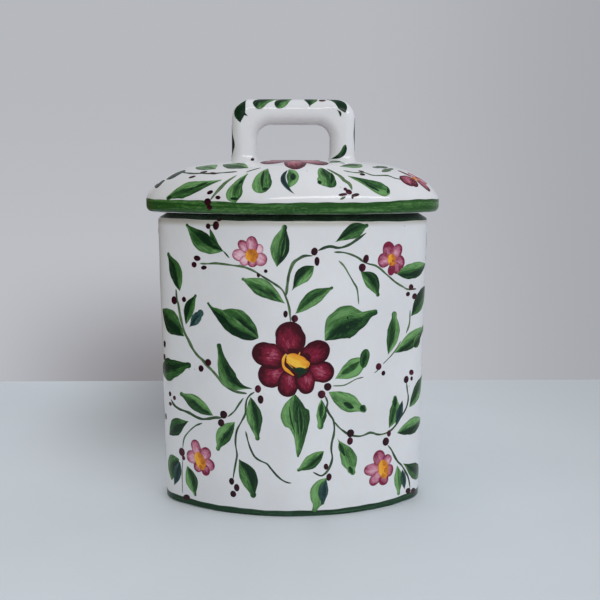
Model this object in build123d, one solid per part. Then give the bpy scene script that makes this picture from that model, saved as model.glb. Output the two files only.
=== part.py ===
"""Glazed ceramic biscuit jar: an oval jar body and a lift-off lid with a loop handle.

Millimetres, +Z up, +X along the long side, -Y to the front. The origin is the middle of
the foot, on the surface that the jar stands on.
"""

from build123d import *
from math import acos, cos, hypot, radians, tan
import os

# Jar body. Width, depth and end radius are the outer wall's, at its top edge.
body_width = 141.0
body_depth = 87.4
body_end_radius = 24.9      # rounding of the two ends in plan
wall_top = 148.3            # height of the outer wall, where the shoulder turns in
wall_draft = 1.0            # degrees that every side leans out from foot to shoulder
wall_edge_radius = 2.0      # rounding between wall and shoulder
shoulder_width = 5.6        # how far the painted shoulder runs in from the wall
shoulder_rise = 3.3
ledge_width = 4.9           # flat that the lid rests on, from the shoulder to the mouth
ledge_edge_radius = 0.8
body_wall = 5.5
floor_thickness = 6.0
inside_floor_radius = 6.0
neck_height = 3.6           # straight inside of the mouth, below the ledge
neck_slope_height = 6.0     # sloped underside of the neck, down to the inside wall
foot_edge_radius = 2.0
foot_ring_width = 5.0
foot_recess = 1.5
foot_recess_radius = 1.0

# Lid
lid_overhang = 6.0          # how far the lid's rim stands out past the body's wall
lid_wall = 5.5
rim_height = 6.4            # from the lid's underside to where the dome begins
rim_edge_radius = 3.3       # rounding of the rim's lower edge
dome_height = 20.8          # from the top of the rim to the crown
side_power = 4.1            # a larger power makes the crown flatter
crown_power = 1.5           # a smaller power makes the shoulder rounder
crown_flat_share = 0.15     # share of the lid's width that is left flat at the crown
dome_sections = 9

# Seat ring under the lid, with the flange that locates the lid in the mouth
seat_thickness = 5.0
seat_edge_radius = 1.0
flange_thickness = 4.5
flange_depth = 10.0
flange_clearance = 1.2      # gap all round between the flange and the mouth
flange_edge_radius = 1.5

# Loop handle on the crown
handle_width = 64.8
handle_height = 31.4        # from the crown to the top of the loop
handle_depth = 15.0
handle_corner_radius = 12.0
handle_bar = 14.0           # height of the bar across the top
handle_leg = 13.2           # width of each leg
handle_inner_radius = 8.5
handle_edge_radius = 5.0
foot_flare = 3.0            # sloped collar where each leg is luted to the dome

# Heights that the pieces share
ledge_height = wall_top + shoulder_rise
rim_top = ledge_height + rim_height
crown_height = rim_top + dome_height
handle_top = crown_height + handle_height
small = 1e-4                # heights and places closer than this are the same


def oval(half_width, half_depth, end_radius, height):
    """Flat face bounded by two long shallow arcs and two tight end arcs, all tangent."""
    end_center = half_width - end_radius
    side_radius = (end_center**2 + half_depth**2 - end_radius**2) / (
        2 * (half_depth - end_radius)
    )
    side_center = side_radius - half_depth
    spread = end_radius / hypot(end_center, side_center)
    join_x = end_center * (1 + spread)
    join_y = side_center * spread
    arcs = [
        ThreePointArc((join_x, -join_y), (half_width, 0), (join_x, join_y)),
        ThreePointArc((join_x, join_y), (0, half_depth), (-join_x, join_y)),
        ThreePointArc((-join_x, join_y), (-half_width, 0), (-join_x, -join_y)),
        ThreePointArc((-join_x, -join_y), (0, -half_depth), (join_x, -join_y)),
    ]
    return Pos(0, 0, height) * Face(Wire([arc.edge() for arc in arcs]))


def wall_oval(height, inset, drafted=True):
    """Oval parallel to the body's wall, moved in from it by the inset."""
    lean = (height - wall_top) * tan(radians(wall_draft)) if drafted else 0.0
    grow = lean - inset
    return oval(
        body_width / 2 + grow, body_depth / 2 + grow, body_end_radius + grow, height
    )


def between(low_face, high_face):
    """Solid with straight sides from one level oval to another."""
    return loft([low_face, high_face], ruled=True)


def upright(inset, low, high):
    """Solid with upright sides, parallel to the top edge of the body's wall."""
    return between(wall_oval(low, inset, False), wall_oval(high, inset, False))


def edges_at(solid, height):
    """Level edges of a solid at one height."""
    return [
        edge
        for edge in solid.edges()
        if abs(edge.bounding_box().min.Z - height) < small
        and abs(edge.bounding_box().max.Z - height) < small
    ]


def matching(solid, wanted):
    """Edges of a solid that lie where the wanted edges lie."""
    middles = [edge @ 0.5 for edge in wanted]
    return [
        edge
        for edge in solid.edges()
        if any(((edge @ 0.5) - middle).length < small for middle in middles)
    ]


def dome(inset, top):
    """Dome over the rim: ovals that shrink as they rise along one smooth profile."""
    half_width = body_width / 2 + lid_overhang - inset
    half_depth = body_depth / 2 + lid_overhang - inset
    end_radius = body_end_radius + lid_overhang - inset
    levels = []
    for index in range(dome_sections):
        share = cos(acos(crown_flat_share) * index / (dome_sections - 1))
        rise = (top - rim_top) * (1 - share**side_power) ** (1 / crown_power)
        levels.append(
            oval(
                half_width * share, half_depth * share, end_radius * share, rim_top + rise
            )
        )
    return loft(levels)


# Jar body ---------------------------------------------------------------------------
mouth_inset = shoulder_width + ledge_width
neck_bottom = ledge_height - neck_height
cavity_top = neck_bottom - neck_slope_height


def make_jar_body():
    wall = between(wall_oval(0, 0), wall_oval(wall_top, 0))
    shoulder = between(
        wall_oval(wall_top, 0), wall_oval(ledge_height, shoulder_width, False)
    )
    shell = wall + shoulder
    shell = fillet(edges_at(shell, wall_top), wall_edge_radius)
    shell = fillet(edges_at(shell, 0), foot_edge_radius)

    cavity = between(
        wall_oval(floor_thickness, body_wall), wall_oval(cavity_top, body_wall)
    )
    cavity = fillet(edges_at(cavity, floor_thickness), inside_floor_radius)
    neck_slope = between(
        wall_oval(cavity_top, body_wall), wall_oval(neck_bottom, mouth_inset, False)
    )
    mouth = upright(mouth_inset, neck_bottom, ledge_height)
    shell = shell - (cavity + neck_slope + mouth)
    shell = fillet(edges_at(shell, ledge_height), ledge_edge_radius)

    recess = between(
        wall_oval(0, foot_ring_width), wall_oval(foot_recess, foot_ring_width)
    )
    recess = fillet(edges_at(recess, foot_recess), foot_recess_radius)
    return shell - recess


# Lid --------------------------------------------------------------------------------
def make_dome_form():
    """The lid's outside, filled solid, from its flat underside to the crown."""
    rim = upright(-lid_overhang, ledge_height, rim_top)
    rim = fillet(edges_at(rim, ledge_height), rim_edge_radius)
    return rim + dome(0, crown_height)


def make_lid_dome(dome_form):
    rim_hollow = upright(lid_wall - lid_overhang, ledge_height, rim_top)
    return dome_form - (rim_hollow + dome(lid_wall, crown_height - lid_wall))


def make_lid_seat_ring():
    flange_inset = mouth_inset + flange_clearance
    flange_foot = ledge_height - flange_depth
    seat_top = ledge_height + seat_thickness
    seat = upright(lid_wall - lid_overhang, ledge_height, seat_top)
    flange = upright(flange_inset, flange_foot, ledge_height)
    bore = upright(flange_inset + flange_thickness, flange_foot, seat_top)
    bore_edge = edges_at(bore, seat_top)
    ring = seat + flange - bore
    ring = fillet(edges_at(ring, flange_foot), flange_edge_radius)
    return fillet(matching(ring, bore_edge), seat_edge_radius)


def make_lid_handle(dome_form):
    """Rounded loop, its legs flared where they meet the dome."""
    loop_height = handle_top - rim_top
    opening_height = loop_height - handle_bar
    front = Plane.XZ * Pos(0, rim_top)
    loop = front * Pos(0, loop_height / 2) * Rectangle(handle_width, loop_height)
    loop = fillet(loop.vertices().group_by(Axis.Z)[-1], handle_corner_radius)
    opening = (
        front
        * Pos(0, opening_height / 2)
        * Rectangle(handle_width - 2 * handle_leg, opening_height)
    )
    opening = fillet(opening.vertices().group_by(Axis.Z)[-1], handle_inner_radius)
    bar = extrude(loop - opening, handle_depth / 2, both=True)
    for side in (bar.faces().sort_by(Axis.Y)[0], bar.faces().sort_by(Axis.Y)[-1]):
        rounded = [edge for edge in side.edges() if edge.center().Z > rim_top + small]
        bar = fillet(matching(bar, rounded), handle_edge_radius)
    joined = dome_form + bar
    seams = new_edges(dome_form, bar, combined=joined)
    return chamfer(seams, foot_flare) - dome_form


dome_form = make_dome_form()
nodes = {
    "jar_body": make_jar_body(),
    "lid_dome": make_lid_dome(dome_form),
    "lid_seat_ring": make_lid_seat_ring(),
    "lid_handle": make_lid_handle(dome_form),
}

os.makedirs("parts", exist_ok=True)
for name, solid in nodes.items():
    export_step(solid, f"parts/{name}.step")
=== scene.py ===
"""Painted ceramic biscuit jar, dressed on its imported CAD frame.

Lengths are written in millimetres and turned into metres as the meshes are made.
The jar is an oval of four tangent arcs. A place on it is (s, q): s runs round the oval
from the middle of the front, to the right, and q runs up the outside.
"""

from math import acos, atan2, cos, log, pi, radians, sin, sqrt, tan

import bmesh
import bpy
import numpy as np
from mathutils import Matrix, Vector


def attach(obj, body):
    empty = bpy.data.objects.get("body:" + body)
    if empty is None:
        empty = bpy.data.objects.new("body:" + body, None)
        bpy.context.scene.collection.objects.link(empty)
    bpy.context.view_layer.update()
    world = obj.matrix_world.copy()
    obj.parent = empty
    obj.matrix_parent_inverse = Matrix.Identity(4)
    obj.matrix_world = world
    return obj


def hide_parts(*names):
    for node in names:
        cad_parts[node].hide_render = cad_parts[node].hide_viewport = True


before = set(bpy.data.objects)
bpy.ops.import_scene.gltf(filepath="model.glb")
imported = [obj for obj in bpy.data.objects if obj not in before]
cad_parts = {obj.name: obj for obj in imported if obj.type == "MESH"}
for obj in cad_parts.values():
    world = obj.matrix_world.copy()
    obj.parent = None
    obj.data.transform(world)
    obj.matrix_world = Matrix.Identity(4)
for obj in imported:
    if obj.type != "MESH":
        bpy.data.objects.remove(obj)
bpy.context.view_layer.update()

MM = 0.001

# Sizes ----------------------------------------------------------------------------------
# They are the CAD model's, but the foot's edge is sharper, and the crown, the rim and the
# handle are a little smaller, which leaves room for the paint.
HALF_WIDTH, HALF_DEPTH, END_RADIUS = 70.5, 43.7, 24.9
WALL_TOP, LEDGE, RIM_TOP, CROWN, HANDLE_TOP = 148.3, 151.6, 158.0, 178.1, 209.35
LOOP_FOOT = 178.8  # where p starts on the handle
DRAFT = tan(radians(1.0))
WALL_EDGE, SHOULDER_WIDTH, LEDGE_WIDTH, LEDGE_EDGE = 2.0, 5.6, 4.9, 0.8
BODY_WALL, FLOOR, INSIDE_FLOOR_RADIUS = 5.5, 6.0, 6.0
NECK_HEIGHT, NECK_SLOPE = 3.6, 6.0
NECK_EDGE, CAVITY_EDGE = 0.8, 1.0
FOOT_EDGE, FOOT_RING, FOOT_RECESS, RECESS_RADIUS, RING_EDGE = 0.6, 5.0, 1.5, 1.0, 0.4
LID_OVERHANG, LID_WALL, RIM_EDGE = 5.88, 5.5, 3.3
SIDE_POWER, CROWN_POWER = 4.1, 1.5
SEAT, SEAT_EDGE, FLANGE, FLANGE_DEPTH, FLANGE_GAP, FLANGE_EDGE = 5.0, 1.0, 4.5, 10.0, 1.2, 1.5
HANDLE_HALF, HANDLE_DEPTH, HANDLE_CORNER, HANDLE_SHIFT = 31.8, 15.0, 9.5, 0.2
HANDLE_BAR, HANDLE_LEG, HANDLE_INNER, HANDLE_EDGE = 13.0, 13.0, 7.2, 6.0
FOOT_FLARE, FLARE_HEIGHT, MOST_FLARE = 1.0, 4.5, 1.4
LEG_SUNK, LEG_END = 3.4, 8.0  # how far a leg runs in below p = 0, and where its close rows end
CLAY = 0.06  # how far a bare clay ring is sunk in the glaze. The foot's stands out as far
CLAY_PROUD = 0.02  # how far the other two stand out
FLAT_IN, FLOOR_IN = 6, 9  # how far in the flat underside and the floor run as rings
HOLLOW_START = 0.4  # height above the ledge where the inside of the rim starts

END_CENTER = HALF_WIDTH - END_RADIUS
SIDE_RADIUS = (END_CENTER**2 + HALF_DEPTH**2 - END_RADIUS**2) / (2 * (HALF_DEPTH - END_RADIUS))
SIDE_CENTER = SIDE_RADIUS - HALF_DEPTH
SPREAD = atan2(END_CENTER, SIDE_CENTER)  # half the angle of a long arc
MOUTH = SHOULDER_WIDTH + LEDGE_WIDTH

STATIONS = 300  # round the oval
DOME_STEPS, DOME_ROWS, POLE_SHARE = 1200, 44, 0.03  # the last row is this share of the rim
CLOSING_STEPS = 30
LEG_ROWS, LOOP_ROWS, BAR_POINTS = 15, 110, 56  # along the handle, and round its bar
FORM_SHARP, PAINT_SHARP = 50, 40  # degrees from which an edge isn't shaded smooth


# Outlines and profiles ------------------------------------------------------------------
def oval_at(s, grow=0.0):
    """Point and outward direction at arc length s on the wall's top edge moved out by grow."""
    side, end = SIDE_RADIUS + grow, END_RADIUS + grow
    side_arc = side * SPREAD
    quarter = side_arc + end * (pi / 2 - SPREAD)
    turn = (np.asarray(s, float) + 2 * quarter) % (4 * quarter) - 2 * quarter
    along = np.abs(turn)
    behind = along > quarter
    along = np.where(behind, 2 * quarter - along, along)
    on_side = along < side_arc
    angle = np.where(on_side, along / side, SPREAD + (along - side_arc) / end)
    x = np.where(on_side, side * np.sin(angle), END_CENTER + end * np.sin(angle))
    y = np.where(on_side, SIDE_CENTER - side * np.cos(angle), -end * np.cos(angle))
    flip_x, flip_y = np.where(turn < 0, -1, 1), np.where(behind, -1, 1)
    return x * flip_x, y * flip_y, np.sin(angle) * flip_x, -np.cos(angle) * flip_y


def half_round(grow=0.0):
    """Half the way round the oval, moved out by grow."""
    return 2 * ((SIDE_RADIUS + grow) * SPREAD + (END_RADIUS + grow) * (pi / 2 - SPREAD))


BACK, LID_BACK = half_round(), half_round(LID_OVERHANG)  # s at the middle of the back


def round_oval(grow=0.0):
    return np.arange(STATIONS) * 2 * half_round(grow) / STATIONS


def ring(s, offset, z, grow=0.0, share=1.0):
    x, y, nx, ny = oval_at(s, grow)
    return np.stack([(x + nx * offset) * share, (y + ny * offset) * share, np.full(len(x), z)], 1)


def unit(vector):
    return vector / np.linalg.norm(vector)


def rounded(corners, longest=3.0, steps=7, support=0.4):
    """Points along a profile of (offset, height, radius) corners, evenly close together."""
    points = [np.array(corners[0][:2], float)]
    for before, corner, after in zip(corners, corners[1:], corners[2:]):
        here = np.array(corner[:2], float)
        if not corner[2]:
            points.append(here)
            continue
        back, ahead = unit(np.array(before[:2]) - here), unit(np.array(after[:2]) - here)
        half = acos(np.clip(back @ ahead, -1, 1)) / 2
        center = here + unit(back + ahead) * corner[2] / sin(half)
        first = here + back * corner[2] / tan(half) - center
        last = here + ahead * corner[2] / tan(half) - center
        turn = pi - 2 * half
        for share in np.linspace(0, 1, steps + 1):
            mixed = sin((1 - share) * turn) * first + sin(share * turn) * last
            points.append(center + mixed / sin(turn))
    points.append(np.array(corners[-1][:2], float))
    filled = [points[0]]
    for start, stop in zip(points, points[1:]):
        length = np.linalg.norm(stop - start)
        cuts = []
        if length > 3 * support:
            inner = length - 2 * support
            pieces = int(inner / longest + 1)
            cuts = [support + inner * k / pieces for k in range(pieces + 1)]
        filled += [start + (stop - start) * cut / length for cut in cuts] + [stop]
    return np.array(filled)


def lean(height, inset):
    """Offset from the wall's top edge of a drafted surface, at a height."""
    return (height - WALL_TOP) * DRAFT - inset


CAVITY_TOP = LEDGE - NECK_HEIGHT - NECK_SLOPE
BODY_OUTSIDE = rounded(
    [
        (lean(FOOT_RECESS, FOOT_RING) - FLAT_IN, FOOT_RECESS, 0),
        (lean(FOOT_RECESS, FOOT_RING), FOOT_RECESS, RECESS_RADIUS),
        (lean(0, FOOT_RING), CLAY, RING_EDGE),
        (lean(0, 0), CLAY, FOOT_EDGE),
        (0, WALL_TOP, WALL_EDGE),
        (-SHOULDER_WIDTH, LEDGE, LEDGE_EDGE),
        (-MOUTH, LEDGE, LEDGE_EDGE),
        (-MOUTH, LEDGE - NECK_HEIGHT, NECK_EDGE),
        (lean(CAVITY_TOP, BODY_WALL), CAVITY_TOP, CAVITY_EDGE),
        (lean(FLOOR, BODY_WALL), FLOOR, INSIDE_FLOOR_RADIUS),
        (lean(FLOOR, BODY_WALL) - FLOOR_IN, FLOOR, 0),
    ]
)
RIM = rounded([(-LID_WALL, LEDGE, 0), (0, LEDGE, RIM_EDGE), (0, RIM_TOP, 0)], longest=1.2, steps=10)
FLANGE_OUT = -MOUTH - FLANGE_GAP
FLANGE_IN = FLANGE_OUT - FLANGE
SEAM = LEDGE - 0.5  # the closed profile starts and ends on the flange's outside
SEAT_RING = rounded(
    [
        (FLANGE_OUT, SEAM, 0),
        (FLANGE_OUT, LEDGE, 0),
        (LID_OVERHANG - LID_WALL, LEDGE, 0),
        (LID_OVERHANG - LID_WALL, LEDGE + SEAT, 0),
        (FLANGE_IN, LEDGE + SEAT, SEAT_EDGE),
        (FLANGE_IN, LEDGE - FLANGE_DEPTH, FLANGE_EDGE),
        (FLANGE_OUT, LEDGE - FLANGE_DEPTH, FLANGE_EDGE),
        (FLANGE_OUT, SEAM, 0),
    ]
)


def running(points):
    """Length along a line of points, from its first."""
    return np.concatenate([[0], np.cumsum(np.linalg.norm(np.diff(points, axis=0), axis=1))])


def dome_rise(share):
    """Share of the dome's height where its outline has shrunk to a share of the rim's."""
    return np.maximum(1 - share**SIDE_POWER, 0) ** (1 / CROWN_POWER)


# q on the body runs along its profile, and is the height itself at the middle of the wall
WALL_MIDDLE = 75.0
BODY_LENGTH = running(BODY_OUTSIDE)
above_middle = np.argmax(BODY_OUTSIDE[:, 1] > WALL_MIDDLE)
BODY_Q = BODY_LENGTH - BODY_LENGTH[above_middle] + BODY_OUTSIDE[above_middle, 1]

# q on the lid is 0 where the dome begins, and negative down the rim
DOME_SHARE = np.cos(np.linspace(0, pi / 2, DOME_STEPS + 1))
DOME_RISE = dome_rise(DOME_SHARE)
DOME_Q = running(
    np.stack([DOME_SHARE * (HALF_DEPTH + LID_OVERHANG), DOME_RISE * (CROWN - RIM_TOP)], 1)
)
RIM_Q = running(RIM) - running(RIM)[-1]


def body_surface(s, q):
    """Points of the jar's outside."""
    x, y, nx, ny = oval_at(s)
    grow = np.interp(q, BODY_Q, BODY_OUTSIDE[:, 0])
    z = np.interp(q, BODY_Q, BODY_OUTSIDE[:, 1])
    return np.stack([x + nx * grow, y + ny * grow, z], -1)


def lid_surface(s, q):
    """Points of the lid's outside."""
    x, y, nx, ny = oval_at(s, LID_OVERHANG)
    share = np.where(q > 0, np.interp(q, DOME_Q, DOME_SHARE), 1.0)
    rise = np.interp(q, DOME_Q, DOME_RISE) * (CROWN - RIM_TOP)
    grow = np.where(q < 0, np.interp(q, RIM_Q, RIM[:, 0]), 0.0)
    z = np.where(q < 0, np.interp(q, RIM_Q, RIM[:, 1]), RIM_TOP + rise)
    return np.stack([x * share + nx * grow, y * share + ny * grow, z], -1)


def dome_height(x, y):
    """Height of the dome's outside above a point of the plan."""
    x, y = np.abs(x), np.abs(y)
    side, end = SIDE_RADIUS + LID_OVERHANG, END_RADIUS + LID_OVERHANG
    share = np.full(np.shape(x), 0.5)
    for _ in range(CLOSING_STEPS):  # closes in on the long arc through the point
        share = np.hypot(x, y + SIDE_CENTER * share) / side
    at_end = np.arctan2(x, y + SIDE_CENTER * share) > SPREAD
    gap = END_CENTER**2 - end**2
    inner = np.maximum((END_CENTER * x) ** 2 - gap * (x**2 + y**2), 0)
    share = np.where(at_end, (END_CENTER * x - np.sqrt(inner)) / gap, share)
    return RIM_TOP + (CROWN - RIM_TOP) * dome_rise(share)


INNER_START = HANDLE_TOP - HANDLE_BAR - HANDLE_INNER
OUTER_START = HANDLE_TOP - HANDLE_CORNER
CORNER_ARC = HANDLE_CORNER * pi / 2
LEG_LENGTH = OUTER_START - LOOP_FOOT
TOP_LENGTH = 2 * (HANDLE_HALF - HANDLE_CORNER)
HANDLE_LENGTH = 2 * (LEG_LENGTH + CORNER_ARC) + TOP_LENGTH


def loop_line(p):
    """Outer and inner points (x, z) of the handle's loop, p along its outside from the left foot."""
    half = HANDLE_LENGTH / 2
    side = np.where(p > half, 1.0, -1.0)
    p = np.where(p > half, HANDLE_LENGTH - p, p)
    turn = np.clip((p - LEG_LENGTH) / HANDLE_CORNER, 0, pi / 2)
    over = np.maximum(p - LEG_LENGTH - CORNER_ARC, 0)
    outer_x = HANDLE_HALF - HANDLE_CORNER * (1 - np.cos(turn)) - over
    outer_z = np.minimum(LOOP_FOOT + p, OUTER_START) + HANDLE_CORNER * np.sin(turn)
    bend_from, bend_to = INNER_START - LOOP_FOOT, LEG_LENGTH + CORNER_ARC + TOP_LENGTH / 2
    bend_to -= HANDLE_HALF - HANDLE_LEG - HANDLE_INNER
    angle = np.clip((p - bend_from) / (bend_to - bend_from), 0, 1) * pi / 2
    inner_half = HANDLE_HALF - HANDLE_LEG
    inner_x = inner_half - HANDLE_INNER * (1 - np.cos(angle)) - np.maximum(p - bend_to, 0)
    inner_z = np.minimum(LOOP_FOOT + p, INNER_START) + HANDLE_INNER * np.sin(angle)
    return side * outer_x, outer_z, side * inner_x, inner_z


def half_way_round(reach):
    """Half the way round the handle's bar, from the half of its height."""
    return 2 * (reach + HANDLE_DEPTH / 2 - 2 * HANDLE_EDGE) + HANDLE_EDGE * pi


def handle_surface(p, a):
    """a runs round the bar from the middle of its front, outwards over the loop's outer edge."""
    outer_x, outer_z, inner_x, inner_z = loop_line(p)
    across_x, across_z = (outer_x - inner_x) / 2, (outer_z - inner_z) / 2
    reach = np.hypot(across_x, across_z)
    flat_up, flat_deep = reach - HANDLE_EDGE, HANDLE_DEPTH / 2 - HANDLE_EDGE
    half_way = half_way_round(reach)
    a = (a + half_way) % (2 * half_way) - half_way
    up_side, a = np.where(a < 0, -1.0, 1.0), np.abs(a)
    behind = a > half_way / 2
    a = np.where(behind, half_way - a, a)
    corner = np.clip((a - flat_up) / HANDLE_EDGE, 0, pi / 2)
    past = np.maximum(a - flat_up - HANDLE_EDGE * pi / 2, 0)
    up = np.minimum(a, flat_up) + HANDLE_EDGE * np.sin(corner)
    deep = flat_deep - past + HANDLE_EDGE * np.cos(corner)
    up, deep = up * up_side, deep * np.where(behind, 1.0, -1.0)
    x = HANDLE_SHIFT + (outer_x + inner_x) / 2 + across_x / reach * up
    z = (outer_z + inner_z) / 2 + across_z / reach * up
    above = z - dome_height(x, deep)
    flare = FOOT_FLARE * np.clip(1 - above / FLARE_HEIGHT, 0, MOST_FLARE) ** 2
    x = x + flare * up / np.hypot(up, deep) * np.sign(across_x)
    y = deep + flare * deep / np.hypot(up, deep)
    return np.stack([x, y, z], -1)


# Meshes ---------------------------------------------------------------------------------
def finish_piece(piece, material, body):
    piece.data.materials.append(material)
    bpy.context.scene.collection.objects.link(piece)
    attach(piece, body)
    return piece


def smoothed(mesh, sharp):
    """The mesh, shaded smooth but for its edges sharper than this."""
    mesh.shade_smooth()
    mesh.set_sharp_from_angle(angle=radians(sharp))
    return mesh


def lofted(name, rings, closed=False):
    """Object from rings of points, each joined to the next. A ring of one point is a pole."""
    vertices, starts = np.concatenate(rings) * MM, np.cumsum([0] + [len(ring) for ring in rings])
    pairs = list(zip(range(len(rings)), range(1, len(rings))))
    if closed:
        pairs.append((len(rings) - 1, 0))
    faces = []
    for low, high in pairs:
        one, two, count = starts[low], starts[high], max(len(rings[low]), len(rings[high]))
        for k in range(count):
            after = (k + 1) % count
            if len(rings[low]) == 1:
                faces.append((one, two + after, two + k))
            elif len(rings[high]) == 1:
                faces.append((one + k, one + after, two))
            else:
                faces.append((one + k, one + after, two + after, two + k))
    mesh = bpy.data.meshes.new(name)
    mesh.from_pydata(vertices.tolist(), [], faces)
    shaped = bmesh.new()
    shaped.from_mesh(mesh)
    bmesh.ops.recalc_face_normals(shaped, faces=shaped.faces)
    shaped.to_mesh(mesh)
    shaped.free()
    return bpy.data.objects.new(name, smoothed(mesh, FORM_SHARP))


def pole(z):
    return np.array([[0, 0, z]])


def shrunk(last):
    """Rings that close a flat face in towards its middle."""
    shares = (0.85, 0.65, 0.42, 0.2, 0.06)
    return [last * (share, share, 1) for share in shares] + [pole(last[0, 2])]


def make_body():
    s = round_oval()
    rings = [ring(s, offset, z) for offset, z in BODY_OUTSIDE]
    return lofted("body", shrunk(rings[0])[::-1] + rings + shrunk(rings[-1]))


def make_dome():
    s = round_oval(LID_OVERHANG)
    top, under = CROWN - RIM_TOP, CROWN - RIM_TOP - LID_WALL
    levels = (LEDGE + HOLLOW_START, LEDGE + SEAT, RIM_TOP)
    outside = [ring(s, offset, z, LID_OVERHANG) for offset, z in RIM]
    inside = [ring(s, -LID_WALL, z, LID_OVERHANG) for z in levels]
    for share in np.cos(np.linspace(0, acos(POLE_SHARE), DOME_ROWS))[1:]:
        rise = dome_rise(share)
        outside.append(ring(s, 0, RIM_TOP + top * rise, LID_OVERHANG, share))
        inside.append(ring(s, -LID_WALL, RIM_TOP + under * rise, LID_OVERHANG, share))
    return lofted("dome", [pole(CROWN)] + outside[::-1] + inside + [pole(CROWN - LID_WALL)])


def make_seat_ring():
    s = round_oval()
    return lofted("seat_ring", [ring(s, offset, z) for offset, z in SEAT_RING[:-1]], closed=True)


def make_clay_ring(name, outer, inner, low, high):
    """Thin ring where the glaze was wiped off before firing. outer and inner are offsets
    from the wall's top edge."""
    s = round_oval()
    corners = [(outer, low), (inner, low), (inner, high), (outer, high)]
    return lofted(name, [ring(s, offset, z) for offset, z in corners], closed=True)


def make_handle():
    low = np.linspace(-LEG_SUNK, LEG_END, LEG_ROWS)
    rest = np.linspace(LEG_END, HANDLE_LENGTH - LEG_END, LOOP_ROWS)[1:-1]
    high = HANDLE_LENGTH - low[::-1]
    rings = []
    for p in np.concatenate([low, rest, high]):
        outer_x, outer_z, inner_x, inner_z = loop_line(p)
        half_way = half_way_round(np.hypot(outer_x - inner_x, outer_z - inner_z) / 2)
        a = np.linspace(-half_way, half_way, BAR_POINTS + 1)[:-1]
        rings.append(handle_surface(np.full(BAR_POINTS, p), a))
    first, last = (ends.mean(0, keepdims=True) for ends in (rings[0], rings[-1]))
    return lofted("handle", [first] + rings + [last])


# Node helpers ---------------------------------------------------------------------------
def linear(value):
    """Linear strength of a screen value from 0 to 1."""
    return value / 12.92 if value < 0.04045 else ((value + 0.055) / 1.055) ** 2.4


def srgb(red, green, blue):
    """Linear colour from 0 to 255 screen values."""
    return (*(linear(value / 255) for value in (red, green, blue)), 1.0)


class Nodes:
    """Short way to write a shader tree: n("TYPE", {input: value or socket}, setting=value)."""

    def __init__(self, owner):
        owner.use_nodes = True
        self.tree = owner.node_tree
        self.tree.nodes.clear()

    def __call__(self, kind, inputs=None, **settings):
        made = self.tree.nodes.new(kind)
        for key, value in settings.items():
            setattr(made, key, value)
        for key, value in (inputs or {}).items():
            if isinstance(value, bpy.types.NodeSocket):
                self.tree.links.new(value, made.inputs[key])
            else:
                made.inputs[key].default_value = value
        return made

    def math(self, operation, first, second=0.0, clamp=False):
        made = self("ShaderNodeMath", {0: first, 1: second}, operation=operation, use_clamp=clamp)
        return made.outputs[0]

    def plus(self, first, second):
        return self.math("ADD", first, second)

    def minus(self, first, second, clamp=False):
        return self.math("SUBTRACT", first, second, clamp)

    def times(self, first, *others, clamp=False):
        for other in others:
            first = self.math("MULTIPLY", first, other, clamp)
        return first

    def swayed(self, value, noise, strength):
        """The value, moved up and down by a noise whose middle is 0.5."""
        return self.plus(value, self.times(self.minus(noise, 0.5), strength))

    def mix(self, factor, first, second):
        """Colour mix."""
        inputs = {0: factor, 6: first, 7: second}
        return self("ShaderNodeMix", inputs, data_type="RGBA").outputs[2]

    def noise(self, vector, scale, detail=3.0, roughness=0.55):
        inputs = {"Vector": vector, "Scale": scale, "Detail": detail, "Roughness": roughness}
        return self("ShaderNodeTexNoise", inputs).outputs["Fac"]

    def spread(self, value, low, high, to_low=0.0, to_high=1.0):
        """Value from low..high to to_low..to_high, smooth and clamped."""
        inputs = {0: value, 1: low, 2: high, 3: to_low, 4: to_high}
        return self("ShaderNodeMapRange", inputs, interpolation_type="SMOOTHSTEP").outputs[0]

    def stretched(self, vector, scale):
        return self("ShaderNodeMapping", {"Vector": vector, "Scale": scale}).outputs[0]

    def attribute(self, name, output="Fac"):
        return self("ShaderNodeAttribute", attribute_name=name).outputs[output]

    def place(self):
        """Where a point lies on its object, in metres."""
        return self("ShaderNodeTexCoord").outputs["Object"]

    def axes(self, vector):
        split = self("ShaderNodeSeparateXYZ", {0: vector})
        return [split.outputs[axis] for axis in "XYZ"]

    def ramp(self, value, stops):
        made = self("ShaderNodeValToRGB", {0: value})
        elements = made.color_ramp.elements
        while len(elements) < len(stops):
            elements.new(0.5)
        for element, (place, colour) in zip(elements, stops):
            element.position = place
            element.color = colour
        return made.outputs[0]

    def bump(self, height, strength=1.0, distance=MM):
        inputs = {"Strength": strength, "Distance": distance, "Height": height}
        return self("ShaderNodeBump", inputs).outputs[0]

    def principled(self, inputs):
        shader = self("ShaderNodeBsdfPrincipled", inputs)
        self("ShaderNodeOutputMaterial", {"Surface": shader.outputs[0]})


GLAZE_RIPPLE, GLAZE_PITS = 0.10, 0.012  # heights in millimetres
UNDER_LID_SHADE_LOW, UNDER_LID_SHADE_HIGH = 0.1445, 0.1476  # metres, the heights over which the painted shade under the lid's overhang sets in


def glazed(n, colour, place, gloss=0.5, roughness=0.10):
    """The shared clear gloss, with the slow ripples of a hand-dipped glaze and orange peel."""
    slow = n.noise(place, 45.0, detail=1.5)
    fine = n.noise(place, 900.0, detail=2.0)
    bump = n.bump(n.plus(n.times(slow, GLAZE_RIPPLE), n.times(fine, GLAZE_PITS)))
    inputs = {"Base Color": colour, "Roughness": roughness, "IOR": 1.5, "Normal": bump}
    n.principled(inputs | {"Specular IOR Level": gloss})


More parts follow.
